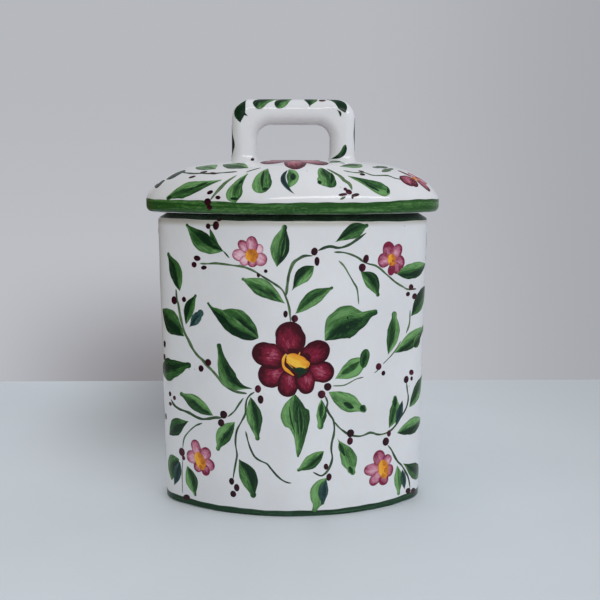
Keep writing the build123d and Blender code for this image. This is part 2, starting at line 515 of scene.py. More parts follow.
def glaze_material(name, white, deep, shade_under_lid=False):
    """Tin glaze: milky white that is warmer where it lies thin, with fine dark specks. It can also carry
    painted shade at the top of the wall, under the lid's overhang.
    """
    material = bpy.data.materials.new(name)
    n = Nodes(material)
    place = n.place()
    pooled = n.spread(n.noise(place, 28.0, detail=4.0), 0.3, 0.72)
    colour = n.mix(pooled, srgb(*deep), srgb(*white))
    mottle = n.spread(n.noise(place, 260.0, detail=2.0), 0.35, 0.7)
    colour = n.mix(n.times(mottle, 0.25), colour, srgb(218, 216, 211))
    cell = n("ShaderNodeTexVoronoi", {"Vector": place, "Scale": 210.0}, feature="F1")
    lucky = n.spread(n.noise(place, 55.0, detail=0.0), 0.64, 0.70)
    speck = n.times(n.spread(cell.outputs["Distance"], 0.10, 0.05), lucky)
    colour = n.mix(n.times(speck, 0.55), colour, srgb(120, 104, 92))
    if shade_under_lid:  # painted shade: the top of the wall turns warm grey where the lid's overhang shades it
        _, _, height = n.axes(place)
        uneven = n.spread(pooled, -0.3, 1.0, 0.5, 0.85)
        near = n.times(n.spread(height, UNDER_LID_SHADE_LOW, UNDER_LID_SHADE_HIGH), uneven)
        colour = n.mix(near, colour, srgb(170, 166, 152))
    glazed(n, colour, place)
    return material


def paint_material(
    name, shades, edge, streak=0.5, edge_share=0.45, bowl=0.0, root=None,
    grain=(0.09, 1.1, 1.0), blotch=(0.10, 0.16, 3.0),
):
    """Brushed underglaze paint. shades are its light, middle and dark colours. Each stroke's
    own attributes say how dark it is, which side of it the brush carried more colour on, and
    how far it fades out at its edges. bowl darkens petals away from their middle."""
    material = bpy.data.materials.new(name)
    n = Nodes(material)
    place = n.place()
    trace = n.attribute("trace", "Vector")
    across, along, soft = n.attribute("across"), n.attribute("along"), n.attribute("soft")
    lean_to = n.attribute("lean")
    bristles = n.noise(n.stretched(trace, grain), 1.0, detail=4.0, roughness=0.65)
    wash = n.noise(n.stretched(trace, blotch), 1.0, detail=2.0)
    grit = n.noise(n.stretched(trace, (0.5, 1.7, 1.0)), 1.0, detail=3.0)
    value = n.plus(n.attribute("tone"), n.times(across, lean_to))
    for noise, strength in ((bristles, 2.0), (wash, 1.6), (grit, 1.3)):
        value = n.swayed(value, noise, strength * streak)
    if bowl:
        past = n.minus(along, 0.42)
        far = n.plus(n.times(n.times(past, past), 3.0), n.times(n.times(across, across), 0.8))
        value = n.plus(value, n.times(far, bowl))
    # the fuller core of a stroke, aside from its middle and away from its two ends
    aside = n.swayed(n.times(lean_to, -0.7), wash, 1.2)
    core = n.spread(n.math("ABSOLUTE", n.plus(across, aside)), 0.5, 0.04)
    inner = n.times(n.spread(along, 0.0, 0.16), n.spread(along, 1.0, 0.5))
    value = n.plus(value, n.times(n.times(core, inner), n.attribute("core")))
    fade = n.times(n.times(across, across), soft)
    value = n.minus(value, n.times(fade, 0.75), clamp=True)
    light, middle, dark = (srgb(*shade) for shade in shades)
    colour = n.ramp(value, [(0.08, light), (0.5, middle), (0.92, dark)])
    if root:
        near = n.spread(along, 0.34, 0.05)
        colour = n.mix(n.times(near, 0.85), colour, srgb(*root))
    # the darker line where the paint ran to the stroke's edge
    sides = n.spread(n.math("ABSOLUTE", across), 0.66, 0.98)
    rim = n.math("MAXIMUM", sides, n.spread(along, 0.88, 0.99))
    rim = n.times(rim, n.plus(bristles, 0.35), clamp=True)
    rim = n.times(rim, n.minus(1.0, soft), clamp=True)
    colour = n.mix(n.times(rim, edge_share), colour, srgb(*edge))
    glazed(n, colour, place, gloss=0.22, roughness=0.24)
    return material


def clay_material(name, pale, burnt):
    """Bare fired clay: sandy, matt, a little rubbed, with stains."""
    material = bpy.data.materials.new(name)
    n = Nodes(material)
    place = n.place()
    patches = n.spread(n.noise(place, 60.0, detail=4.0), 0.35, 0.7)
    grains = n.noise(place, 2200.0, detail=2.0)
    colour = n.mix(patches, srgb(*pale), srgb(*burnt))
    colour = n.mix(n.times(n.spread(grains, 0.55, 0.7), 0.35), colour, srgb(108, 84, 66))
    rough, bump = n.spread(grains, 0.3, 0.7, 0.72, 0.9), n.bump(n.times(grains, 0.05))
    n.principled({"Base Color": colour, "Roughness": rough, "Normal": bump})
    return material


# Brush strokes --------------------------------------------------------------------------
draw = np.random.default_rng(11)
PAINT, UNDER = 0.05, -0.07  # how far a skin stands out, and how deep its edge runs in
STEP = 0.02  # over which a surface's slope is measured
PATH_STEPS = 12  # between two points of a path
ROW_LENGTH, ROWS_LEAST, ROWS_MOST = 0.9, 9, 150  # along a stroke
COLUMN_WIDTH, COLUMNS_LEAST, COLUMNS_MOST = 1.3, 2, 12  # across it
LONG, EVEN_SHARE = 30, 0.75  # a long stroke's rows are nearly evenly spaced
WOBBLE, THINNEST = 0.035, 0.06
SLIVER = 0.25  # height of the strips that a stroke's edges get on the bake's square
CELL_GAP, SPARE_AREA = 0.9, 1.06  # round the strokes' cells there


def smooth_path(points, bend=0.0):
    """Smooth line through the points. Two points get a middle one, bend to their left."""
    points = np.array(points, float)
    if len(points) == 2:
        run = points[1] - points[0]
        middle = points.mean(0) + bend * unit(np.array([-run[1], run[0]]))
        points = np.array([points[0], middle, points[1]])
    padded = np.vstack([2 * points[0] - points[1], points, 2 * points[-1] - points[-2]])
    t = np.linspace(0, 1, PATH_STEPS, endpoint=False)[:, None]
    line = []
    for a, b, c, d in zip(padded, padded[1:], padded[2:], padded[3:]):
        square, cube = 2 * a - 5 * b + 4 * c - d, 3 * b - a - 3 * c + d
        line.append(0.5 * (2 * b + (c - a) * t + square * t**2 + cube * t**3))
    return np.vstack(line + [points[-1:]])


def leaf_shape(width, belly=0.42, nub=0.0, full=1.0):
    """Half width along a leaf: fullest at belly, and blunt at its end if nub is set."""
    power = log(0.5) / log(belly)

    def half(t, length):
        t = np.clip(t, 0, 1)
        body = np.clip(t / (1 - 1.1 * nub / length), 0, 1)
        wide = width / 2 * np.sin(pi * body**power) ** full
        if nub:
            past = (t - 1) * length / nub + 1
            knob = nub * np.sqrt(np.clip(1 - past**2, 0, 1))
            neck = np.where((t > belly) & (past < 0), 0.8 * nub, 0.0)
            wide = np.maximum(np.hypot(wide * (past < 0), neck), knob)
        return wide

    return half


def drawn_shape(stops):
    """Half width read at places along a stroke, from (share of its length, width)."""
    line = smooth_path(stops)
    return lambda t, length: np.interp(t, line[:, 0], line[:, 1]) / 2


def line_shape(width, taper=2.5):
    """Thin line whose width pulses a little, with rounded ends."""

    def half(t, length):
        end = np.minimum(t, 1 - t) * length / (taper * width)
        pulse = 1 + 0.16 * np.sin(t * length / 2.3 + width * 9) + 0.1 * np.sin(t * length / 1.1)
        return width / 2 * pulse * np.clip(end, 0, 1) ** 0.5

    return half


def blob_shape(width):
    return lambda t, length: width / 2 * np.sqrt(np.clip(1 - (2 * t - 1) ** 2, 0, 1))


def shadow_shape(width):
    return leaf_shape(width, belly=0.5, full=0.7)


def petal_shape(width, belly=0.52, power=2.1):
    """Full oval petal."""
    skew = log(0.5) / log(belly)

    def half(t, length):
        far = np.abs(2 * np.clip(t, 0, 1) ** skew - 1)
        return width / 2 * (1 - far**power) ** (1 / power)

    return half


def lifted(surface, s, q, lift):
    """Points over places on a surface, a little way out of it."""
    right = surface(s + STEP, q) - surface(s - STEP, q)
    up = surface(s, q + STEP) - surface(s, q - STEP)
    out = np.cross(right, up)
    return surface(s, q) + lift * out / np.linalg.norm(out, axis=-1, keepdims=True)


def skin(name, points, faces, data):
    """Mesh of paint, with the values that its material reads at each point."""
    mesh = bpy.data.meshes.new(name)
    mesh.from_pydata((points * MM).tolist(), [], faces)
    for key, values in data.items():
        kind, field = ("FLOAT_VECTOR", "vector") if values.ndim == 2 else ("FLOAT", "value")
        written = mesh.attributes.new(key, kind, "POINT").data
        written.foreach_set(field, values.astype(np.float32).ravel())
    return smoothed(mesh, PAINT_SHARP)


class Paint:
    """Strokes that become one piece: thin closed skins that follow a surface."""

    def __init__(self):
        self.points, self.faces, self.cells = [], [], []
        keys = ("across", "along", "tone", "lean", "soft", "core", "trace")
        self.data = {key: [] for key in keys}
        self.count = 0

    def stroke(self, surface, line, shape, lift, tone=0.5, lean=0.0, fine=1.0, soft=0.0, core=0.0):
        reach = running(line)
        length = reach[-1]
        steps = int(np.clip(length / (ROW_LENGTH * fine), ROWS_LEAST, ROWS_MOST))
        share = (1 - np.cos(np.linspace(0, pi, steps + 1))) / 2
        if length > LONG:
            share = (1 - EVEN_SHARE) * share + EVEN_SHARE * np.linspace(0, 1, steps + 1)
        s, q = (np.interp(share * length, reach, line[:, k]) for k in (0, 1))
        ds, dq = np.gradient(s), np.gradient(q)
        size = np.hypot(ds, dq)
        seed = draw.uniform(0, 40)
        half = shape(share, length)
        waves = np.sin(share * length / 1.9 + seed) + 0.6 * np.sin(share * length / 0.8 + 2 * seed)
        half = np.maximum(half * (1 + WOBBLE * waves), THINNEST)
        sides = int(np.clip(2 * half.max() / (COLUMN_WIDTH * fine), COLUMNS_LEAST, COLUMNS_MOST))
        v = np.linspace(-1, 1, sides + 1)
        grid_s = s[:, None] - (dq / size * half)[:, None] * v
        grid_q = q[:, None] + (ds / size * half)[:, None] * v
        top = lifted(surface, grid_s, grid_q, lift)
        edge = lifted(surface, grid_s[:, [0, -1]], grid_q[:, [0, -1]], UNDER)
        manner = {"tone": tone, "lean": lean, "soft": soft, "core": core}
        self.add(top, edge, share * length, half, v, seed, manner)

    def add(self, top, edge, reach, half, v, seed, manner):
        """Points of a stroke and what its material reads there, then its faces."""
        rows, columns = top.shape[:2]
        index = self.count + np.arange(rows * columns).reshape(rows, columns)
        low = self.count + rows * columns + np.arange(rows * 2).reshape(rows, 2)
        self.points += [top.reshape(-1, 3), edge.reshape(-1, 3)]
        self.count += rows * (columns + 2)

        def of_rows(values):
            """Each row's value at its points on top and at its two points below."""
            return np.concatenate([np.repeat(values, columns), np.repeat(values, 2)])

        across = np.concatenate([np.tile(v, rows), np.tile([-1.0, 1.0], rows)])
        seeds = np.full(len(across), seed)
        data = {key: np.full(len(across), value) for key, value in manner.items()}
        data["across"], data["along"] = across, of_rows(reach / reach[-1])
        data["trace"] = np.stack([of_rows(reach), across * of_rows(half), seeds], 1)
        for key, values in data.items():
            self.data[key].append(values)
        self.add_faces(index, low, reach, half, v)

    def add_faces(self, index, low, reach, half, v):
        """Faces of a stroke, each with its corners' places in the stroke's cell."""
        cell, widest = len(self.cells), half.max()
        self.cells.append((reach[-1], 2 * widest + 4 * SLIVER))
        rows, columns = index.shape
        for i in range(rows - 1):
            a, b = reach[i], reach[i + 1]
            for j in range(columns - 1):
                square = ((i, j), (i + 1, j), (i + 1, j + 1), (i, j + 1))
                heights = [widest + half[row] * v[column] for row, column in square]
                corners = [index[spot] for spot in square]
                self.faces.append((corners, list(zip((a, b, b, a), heights)), cell))
            strips = (
                (low[i, 0], low[i + 1, 0], index[i + 1, 0], index[i, 0]),
                (index[i, -1], index[i + 1, -1], low[i + 1, 1], low[i, 1]),
                (low[i, 1], low[i + 1, 1], low[i + 1, 0], low[i, 0]),
            )
            for k, corners in enumerate(strips):
                base = 2 * widest + (k + 0.2) * SLIVER
                top = base + 0.8 * SLIVER
                self.faces.append((corners, [(a, base), (b, base), (b, top), (a, top)], cell))
        for row, start, way in ((0, 0.0, 1), (rows - 1, reach[-1] - SLIVER, -1)):
            loop = [low[row, 1], low[row, 0], *index[row]][::way]
            turn = 2 * pi * np.arange(len(loop)) / len(loop)
            x = start + SLIVER * (0.5 + 0.45 * np.cos(turn))
            y = 2 * widest + 3.2 * SLIVER + 0.3 * SLIVER * (1 + np.sin(turn))
            self.faces.append((loop, list(zip(x, y)), cell))

    def packed(self):
        """Where each stroke's cell goes on the bake's square, in shelves."""
        gap = CELL_GAP
        side = max(
            max(length for length, _ in self.cells) + gap,
            SPARE_AREA * sqrt(sum((length + gap) * (width + gap) for length, width in self.cells)),
        )
        places, x, y, shelf = {}, gap / 2, gap / 2, 0.0
        for k in sorted(range(len(self.cells)), key=lambda k: -self.cells[k][1]):
            length, width = self.cells[k]
            if x + length + gap > side:
                x, y, shelf = gap / 2, y + shelf + gap, 0.0
            places[k] = (x, y)
            x, shelf = x + length + gap, max(shelf, width)
        return places, max(side, y + shelf + gap)

    def piece(self, name, material, body, slot):
        faces = [list(map(int, corners)) for corners, _, _ in self.faces]
        data = {key: np.concatenate(chunks) for key, chunks in self.data.items()}
        mesh = skin(name, np.concatenate(self.points), faces, data)
        places, side = self.packed()
        flat = []
        for _, corners, cell in self.faces:
            x, y = places[cell]
            flat += [((x + u) / side, (y + v) / side) for u, v in corners]
        baked = mesh.uv_layers.new(name="OFBake").data
        baked.foreach_set("uv", np.array(flat, np.float32).ravel())
        return finish_piece(bpy.data.objects.new(name, mesh), material, body)


BAND_COLUMNS = 360
BAND_HALF, BAND_SEED = 3, 4.5  # half width and seed that a band's brush marks are drawn with


def band(name, surface, whole, low, high, material, body, rows=8):
    """Painted band all the way round, between two wavering edges low(s) and high(s)."""
    s = np.arange(BAND_COLUMNS) * whole / BAND_COLUMNS
    v = np.linspace(0, 1, rows)
    q = low(s)[:, None] + (high(s) - low(s))[:, None] * v
    around = np.repeat(s[:, None], rows, 1)
    top = lifted(surface, around, q, PAINT)
    edges = lifted(surface, around[:, [0, -1]], q[:, [0, -1]], UNDER)
    points = np.concatenate([top, edges[:, ::-1]], 1)  # a closed section at each station
    count = rows + 2
    index = np.arange(BAND_COLUMNS * count).reshape(BAND_COLUMNS, count)
    after = np.roll(index, -1, axis=0)
    faces = []
    for i in range(BAND_COLUMNS):
        for j in range(count):
            k = (j + 1) % count
            faces.append([int(n) for n in (index[i, j], after[i, j], after[i, k], index[i, k])])
    across = np.tile(np.concatenate([2 * v - 1, [1.0, -1.0]]), BAND_COLUMNS)
    levels = {"along": 0.5, "tone": 0.5, "lean": 0.0, "soft": 0.0, "core": 0.0}
    data = {"across": across} | {key: np.full(len(across), level) for key, level in levels.items()}
    seeds = np.full(len(across), BAND_SEED)
    data["trace"] = np.stack([np.repeat(s, count), across * BAND_HALF, seeds], 1)
    mesh = skin(name, points.reshape(-1, 3), faces, data)
    return finish_piece(bpy.data.objects.new(name, mesh), material, body)


def wavering(level, *waves, whole=2 * BACK):
    """Edge height as a function of s: a level and (size, waves round the jar, phase)."""
    return lambda s: level + sum(
        size * np.sin(2 * pi * turns * s / whole + phase) for size, turns, phase in waves
    )


# Decoration of the jar's wall, read from the photograph in millimetres ------------
# Leaves: points from stalk to tip, width, bend to the left, belly (the share of the length
# where it is widest), knob, tone, darker side. Where a list of (share of the length, width)
# follows the points, it says the whole form
WALL_LEAVES = [
    ([(0.4, 62.9), (0.2, 59), (0, 55), (0.9, 51), (2.3, 47.4), (2.9, 42), (2.6, 36.5), (1.9, 30.9)],
     [(0, 0.4), (0.06, 4.2), (0.14, 8.6), (0.24, 13.2), (0.33, 14.6), (0.42, 13.4), (0.55, 9.4),
      (0.71, 5.4), (0.89, 3), (1, 0.8)], 0.46, 0.35),
    ([(-17.9, 91.2), (-21.4, 95.6), (-26, 98.8), (-31, 101.8), (-36.2, 104)],
     [(0, 0.4), (0.1, 2.4), (0.24, 5.4), (0.45, 8.4), (0.65, 8.8), (0.85, 5.2), (1, 0.6)], 0.6, 0.2),
    ([(-18, 90.8), (-24.5, 92.6), (-31, 96.2), (-37.4, 101.3), (-42.6, 104.6), (-45.2, 107.4)],
     [(0, 0.3), (0.1, 4), (0.3, 7), (0.46, 7.8), (0.66, 6.8), (0.8, 3.8), (0.88, 1.7), (1, 1.1)],
     0.68, 0.35),
    ([(15.4, 89.7), (17.9, 92.4), (21, 95.6), (23.6, 97.3), (27.1, 98.6), (31.8, 99.2), (35.4, 99.8),
      (39.4, 101.8), (43.8, 102.8)],
     [(0, 0.4), (0.11, 7), (0.24, 13.4), (0.34, 16.1), (0.46, 16.5), (0.6, 12.9), (0.72, 8.3),
      (0.86, 3.7), (0.97, 2.8), (1, 1.6)], 0.6, -0.3),
    ([(-35.8, 133.3), (-57.7, 146.1)], 9.8, 2.2, 0.48, 0.9, 0.45, -0.3),
    ([(-36, 133.5), (-39, 136), (-41.5, 140), (-43.2, 144.5)], 2.8, 0, 0.55, 0, 0.55, 0),
    ([(-8.5, 126.1), (-4.5, 146.6)], 9.2, 0.3, 0.5, 1.3, 0.5, -0.45),
    ([(-4.5, 108.2), (-26.2, 120.2)], 8.4, -1.2, 0.55, 0.8, 0.42, 0.2),
    ([(-63.1, 112.2), (-71.8, 131.2)], 9, -1.4, 0.47, 1.2, 0.6, 0.3),
    ([(-59.4, 95.2), (-52.1, 111)], 6.4, 1.2, 0.5, 0.8, 0.62, 0.3),
    ([(-60.8, 89), (-66, 92.6), (-73, 97), (-80.5, 101.2)], 12.4, 0, 0.52, 0, 0.58, 0.3),
    ([(20, 138), (37.6, 146.2)], 7.4, 0.8, 0.6, 1, 0.56, 0.3),
    ([(-1.3, 114.4), (9.6, 126.6)], 7.6, 1, 0.62, 0, 0.56, 0.45),
    ([(0.6, 103.2), (19.3, 116)], 7.2, 1.4, 0.5, 0.8, 0.4, 0.2),
    ([(33.7, 123.3), (44.3, 110.4)], 7.8, 1.8, 0.52, 1.1, 0.46, 0.3),
    ([(55.5, 121.3), (83, 124.6)], 8.4, -0.7, 0.45, 0, 0.44, -0.4),
    ([(67.2, 98.7), (86, 112.6)], 10.2, 1, 0.5, 0, 0.74, 0.3),
    ([(51.2, 80.3), (54.7, 102.2)], 8.4, -1.5, 0.52, 1.8, 0.38, 0.3),
    ([(55.5, 80.8), (83.5, 91.2)], 8.6, 0.6, 0.5, 1.8, 0.36, -0.35),
    ([(-21.5, 65.3), (-28.4, 66.4), (-33.6, 69.6), (-36.8, 76.4), (-39.2, 87.1)],
     [(0, 0.3), (0.12, 1.8), (0.3, 6.6), (0.46, 9.6), (0.6, 7.4), (0.78, 4), (0.9, 2.7), (0.97, 2.7),
      (1, 1.6)], 0.5, -0.35),
    ([(-86, 68.4), (-76.6, 69.7), (-65.6, 72.2), (-60, 74), (-56.6, 74.5)],
     [(0, 3), (0.32, 11.5), (0.55, 9.8), (0.7, 7.2), (0.86, 3.5), (0.95, 3.1), (1, 1.8)], 0.7, 0.2),
    ([(-43.1, 49.9), (-65, 59)], 8, -0.6, 0.5, 1.2, 0.46, 0.25),
    ([(-59.1, 45), (-75.6, 35.2)], 8.8, -1.2, 0.58, 0, 0.66, 0.2),
    ([(-67.2, 23.6), (-73.4, 18.5), (-74.6, 10.6)], 11.6, 0, 0.48, 0, 0.5, 0.2),
    ([(-60.9, 21), (-55.5, 5.8)], 8.6, 0.2, 0.5, 1, 0.5, 0.35),
    ([(-22.2, 61), (-18.6, 39)], 8, 0.2, 0.47, 1.2, 0.48, 0.3),
    ([(-30.8, 47.8), (-41.1, 32)], 8.4, -1.3, 0.5, 1.3, 0.48, 0.3),
    ([(-28.8, 28.8), (-20.9, 9.2)], 9.4, 1.4, 0.52, 1.6, 0.6, 0.35),
    ([(20.8, 70.2), (38, 79.5)], 9.6, -0.3, 0.55, 0, 0.1, 0.05),
    ([(17.5, 63.7), (38.4, 52.7)], 9, -0.5, 0.5, 1.7, 0.24, -0.1),
    ([(13.8, 60.2), (13.2, 44.8)], 5, 0.5, 0.5, 1.6, 0.42, 0.35),
    ([(22.4, 39.6), (31.6, 20)], 8.8, 1.2, 0.62, 1.6, 0.26, 0.1),
    ([(15.3, 33.6), (1.6, 23.8)], 7.2, 0.5, 0.48, 0.9, 0.36, 0.3),
    ([(17.1, 19.6), (14.6, 17), (12.9, 13.6), (12.6, 10.2), (12, 6.8), (10.2, 2.4)],
     [(0, 0.3), (0.18, 5), (0.38, 8.4), (0.56, 9), (0.72, 6.8), (0.84, 3.4), (1, 2.2)], 0.26, 0.1),
    ([(53, 41.8), (56.6, 58.4)], 7.4, -2, 0.52, 1.4, 0.3, 0.2),
    ([(67.9, 50.6), (86, 65.2)], 9.2, 0.9, 0.48, 0, 0.44, 0.3),
    ([(58.9, 38.4), (86, 41)], 8.8, 0.6, 0.47, 0, 0.46, -0.45),
    ([(59.5, 20.9), (61.2, 4.6)], 6, 0.4, 0.5, 1.1, 0.28, 0.2),
    ([(63.9, 21.2), (74, 15.4), (87, 10.8)], 9, 0, 0.58, 0, 0.6, 0.2),
]
# Leaves in the middle of each narrow end, drawn once
END_LEAVES = [
    ([(-90.5, 108), (-88.5, 124)], 6.6, 1, 0.5, 0.8, 0.45, 0.3),
    ([(-89, 52), (-91.5, 36)], 6.8, 1, 0.5, 0.8, 0.5, 0.3),
    ([(-91.5, 33), (-88, 18)], 6, -1, 0.5, 0.6, 0.4, 0.3),
    ([(89.2, 130), (90.6, 144)], 6, 1, 0.5, 0.8, 0.45, 0.3),
    ([(89.4, 80), (90.2, 70)], 4.6, 0.6, 0.5, 0.6, 0.4, 0.3),
    ([(90.4, 28), (89, 20)], 4, 0.6, 0.5, 0.6, 0.5, 0.3),
]
END_STEMS = [
    ([(-89.6, 126), (-90.2, 133), (-89, 140)], 0.9),
    ([(-89.4, 60), (-90.4, 56), (-89, 52)], 0.9),
    ([(90, 60), (89.4, 66), (90.2, 70)], 0.8),
]
END_BERRIES = [
    (-88.8, 141.6, 3, 3.2), (-91.4, 138.4, 2.6, 2.8), (-89.4, 62, 3, 3.2), (-91.6, 64.6, 2.6, 2.6),
    (90, 58.4, 3, 3.2), (88.4, 127.4, 2.6, 2.8), (91.4, 126.6, 2.6, 2.6), (89.8, 17.2, 2.8, 2.8),
]
# Drawn over other leaves
WALL_TOP_LEAVES = [
    ([(36, 74.6), (36.6, 78.6), (37.8, 84.2)],
     [(0, 0.6), (0.12, 3.2), (0.4, 5), (0.75, 5.2), (0.92, 3.6), (1, 1.4)], 0.6, 0.1),
]
# Leaves in a bluer green
WALL_BLUE_LEAVES = [
    ([(-57, 94.1), (-48.3, 103.1)], 5.8, 0, 0.6, 1.9, 0.6, 0),
    ([(-66.6, 22.2), (-69, 15), (-71.8, 8.6)], 6, 0, 0.45, 0, 0.62, 0.1),
    ([(57.6, 43), (62.2, 55)], 4.8, -0.3, 0.5, 0, 0.75, 0),
    ([(63.4, 18), (65.8, 7)], 4.2, 0.2, 0.5, 0, 0.7, 0),
    ([(16.7, 19), (15.2, 12.5), (14.8, 5.8)], 5, 0, 0.52, 1, 0.74, 0),
]
# Dark touches on the leaves: points, width, tone
WALL_DABS = [
    ([(2.6, 57), (3.6, 48), (3.4, 40)], 2, 0.95),
    ([(-2.6, 57), (-1.6, 50), (0.6, 43)], 1.1, 0.85),
    ([(26.9, 101.4), (27.4, 99.6)], 0.9, 1.1),
    ([(27, 96.6), (27.2, 95.4)], 0.8, 1.1),
    ([(-6.3, 131), (-4.6, 141)], 1.9, 0.95),
    ([(24, 72.4), (30, 75.4), (34, 78.4)], 3.2, 0.8),
    ([(25.4, 57.8), (31.2, 54.6)], 2.6, 1),
    ([(34.9, 55.4), (37.4, 52.6)], 3, 0.95),
    ([(13.9, 58.4), (13.7, 50)], 2.6, 0.85),
    ([(70, 82.4), (77.4, 87.6)], 4.4, 0.95),
    ([(28.8, 24.6), (31.2, 20.6)], 2.6, 0.85),
    ([(23.3, 37.4), (26.6, 30.2)], 2.3, 0.9),
    ([(56.7, 52.4), (56.6, 58)], 3, 1),
]
# Stems: points and width
WALL_STEMS = [
    ([(-36, 133.6), (-34, 131.6), (-32.5, 130)], 0.7),
    ([(-44, 145.2), (-41.8, 146), (-39.5, 145.2)], 0.6),
    ([(-49.5, 126.7), (-45, 126.8), (-40, 127.2), (-35, 126.9), (-30, 126.4), (-25, 125.8), (-20, 124),
      (-15, 121), (-10, 118), (-6, 115), (-4, 111), (-2.5, 106), (-1.8, 99)], 1),
    ([(-66, 113), (-65.5, 108), (-64.5, 105), (-63.5, 100), (-62, 95), (-60.5, 91), (-58, 87.5),
      (-55, 83), (-52, 80), (-49, 78), (-45, 74.5), (-42, 72), (-39, 69), (-36, 66.5), (-33, 64.5),
      (-29, 63.2), (-24, 62.7)], 1.6),
    ([(-4, 112), (-3.3, 118), (-2.5, 123), (-0.5, 128), (2, 130), (5, 131.5), (9, 131.5)], 1.5),
    ([(11.5, 134), (15, 135.5), (18, 136), (21, 135.3), (24, 135.5), (28, 137), (32, 139.5),
      (36.5, 142.3)], 1.3),
    ([(19.5, 133.2), (24, 133), (28, 132), (32, 130.3), (35, 128.3), (38, 127), (42, 126), (45, 124.3),
      (48, 122), (50, 120.5), (55, 117), (60, 114.5), (64, 112.8), (71, 112.5)], 0.95),
    ([(22, 129), (25, 126), (27.5, 122), (30, 118), (32, 114.5), (33, 107)], 0.8),
    ([(66.3, 102), (66, 95), (63.6, 90)], 1.1),
    ([(60, 86.6), (55, 81), (48, 75.7)], 0.55),
    ([(42.6, 71.6), (45.6, 73.2)], 0.5),
    ([(-72.8, 54.7), (-70, 52), (-66, 50.5), (-62, 50), (-58, 49.3), (-54, 48), (-50, 47.4), (-46, 48),
      (-42, 49), (-37.6, 49.4)], 1.4),
    ([(-34.8, 50), (-31, 53.2), (-28.4, 57), (-25.9, 60.4)], 1),
    ([(-50, 45.2), (-54, 43.5), (-58, 40.5), (-62, 36.5), (-63.5, 33), (-63.8, 30)], 0.8),
    ([(-64.3, 23.5), (-65, 15), (-65, 5.5)], 0.5),
    ([(-20, 63.7), (-22.5, 62), (-24.2, 59.5), (-24.8, 56), (-25, 52.5), (-27, 48.5), (-29.5, 44),
      (-30.4, 40), (-30.5, 36), (-29.8, 31), (-30.5, 27), (-31.5, 22), (-32.2, 18)], 1),
    ([(-25, 43.5), (-23.5, 37.5), (-22, 33.5), (-20, 30.3), (-17, 28.5), (-14, 27.3), (-12, 25),
      (-9, 21.5), (-6, 19), (-3, 17.7), (-1.3, 17.6)], 0.95),
    ([(19.5, 66.7), (25, 66.6), (28, 67.5), (32, 69.3), (36.5, 70.1)], 0.6),
    ([(15.4, 62.4), (17, 58.5), (16.5, 55.5), (18, 52.5), (20, 49.5), (20.7, 46), (20.5, 42),
      (19.5, 38), (19.2, 34), (19.8, 30), (19, 26.5), (17.5, 23.5), (15.5, 21.5), (13.5, 21),
      (9.7, 23)], 1.1),
    ([(20.6, 48.5), (23, 45.5), (26, 43), (28.5, 41.3), (31.5, 40.3), (35, 39.8), (38, 40.3),
      (40.5, 41), (43, 40.5), (45, 39.6), (48, 39.2), (52, 39.6), (55, 40.8), (58, 43), (61, 46),
      (64, 49), (66, 52), (66.8, 56), (65.8, 60), (65, 64.5)], 1.05),
    ([(52.3, 33), (55, 30), (57.5, 26), (60, 22.8), (63, 20.3), (66, 16.5), (68.5, 13), (70, 9),
      (70.5, 6)], 1.1),
]
# Berries: middle, width, height
WALL_BERRIES = [
    (-44, 145.4, 2.8, 2.8), (-39.6, 145.8, 3.4, 4.4), (-38, 149, 2.8, 2.4), (-51, 129.3, 4.2, 2.8),
    (-53, 126, 3.2, 3), (-47, 124.8, 3.4, 2.2), (-14, 124, 1.8, 1.8), (-17.7, 122, 1.6, 2.3),
    (-67.5, 107, 4.2, 4.2), (-60.3, 108, 2.7, 2.8), (-78.5, 83, 3.4, 3.6), (-79.5, 76, 3.2, 3.4),
    (-45.5, 77, 3.5, 3.7), (-50, 73.5, 3.3, 3.4), (-4.3, 103, 2.2, 3.4), (0.2, 100.8, 3.5, 3.6),
    (9.8, 133.6, 3.2, 3.9), (11.1, 128.8, 2.6, 4.4), (36.6, 129.5, 3.3, 4.2), (34.6, 125.2, 4, 4.1),
    (66.5, 113.7, 3.6, 3), (64.2, 110.3, 3, 2.3), (69.5, 108.8, 3.9, 3), (45.3, 74.7, 3.5, 3.6),
    (48.4, 71, 2.4, 2.5), (-73.5, 57.3, 2.6, 2.6), (-69.5, 55.8, 2.4, 2.4), (-73.5, 52, 3, 2.1),
    (-37, 51, 4.1, 4.1), (-38.5, 46.7, 3.7, 3.8), (-64.7, 27.8, 4.4, 4.5), (-63.5, 24.8, 2.4, 2.5),
    (-62, 4, 5, 3), (-18.3, 65.3, 3.2, 3.9), (-17, 60, 3, 4.3), (-33, 16.8, 2.8, 3.6),
    (-30.2, 13.8, 3, 3.9), (-32.2, 10.3, 3.4, 3.4), (17, 66.3, 3.9, 4), (13.9, 62.6, 4.1, 4.1),
    (29.5, 41.8, 4.1, 4.1), (29.3, 37.8, 3.2, 3.9), (16.5, 25.5, 2.4, 3.2), (18.1, 20, 2.8, 3.9),
    (68.8, 69, 3.9, 2.8), (64.7, 65.8, 3.7, 3.8), (69.1, 65.7, 2.2, 2.3), (53, 39, 2.6, 3.4),
    (51, 35, 4.3, 4.4), (69, 5.3, 4.5, 3), (74.5, 4.2, 6, 3), (-80.5, 44, 3.2, 3.4),
]
# Petals of the large flower: tip, root, width, tone
BIG_PETALS = [
    ((-18.2, 71.7), (-2.2, 74.2), 13, 0.44),
    ((-21.1, 84.8), (-3.6, 79.6), 12.8, 0.47),
    ((20.2, 72.5), (5.6, 76.4), 11.4, 0.38),
    ((17.5, 87), (2.9, 80.2), 11.8, 0.5),
    ((-4.6, 61.8), (-1.4, 75), 11, 0.48),
    ((7, 63.1), (4.2, 76.4), 9.9, 0.42),
    ((-4.2, 99), (0.1, 82.6), 15, 0.45),
]
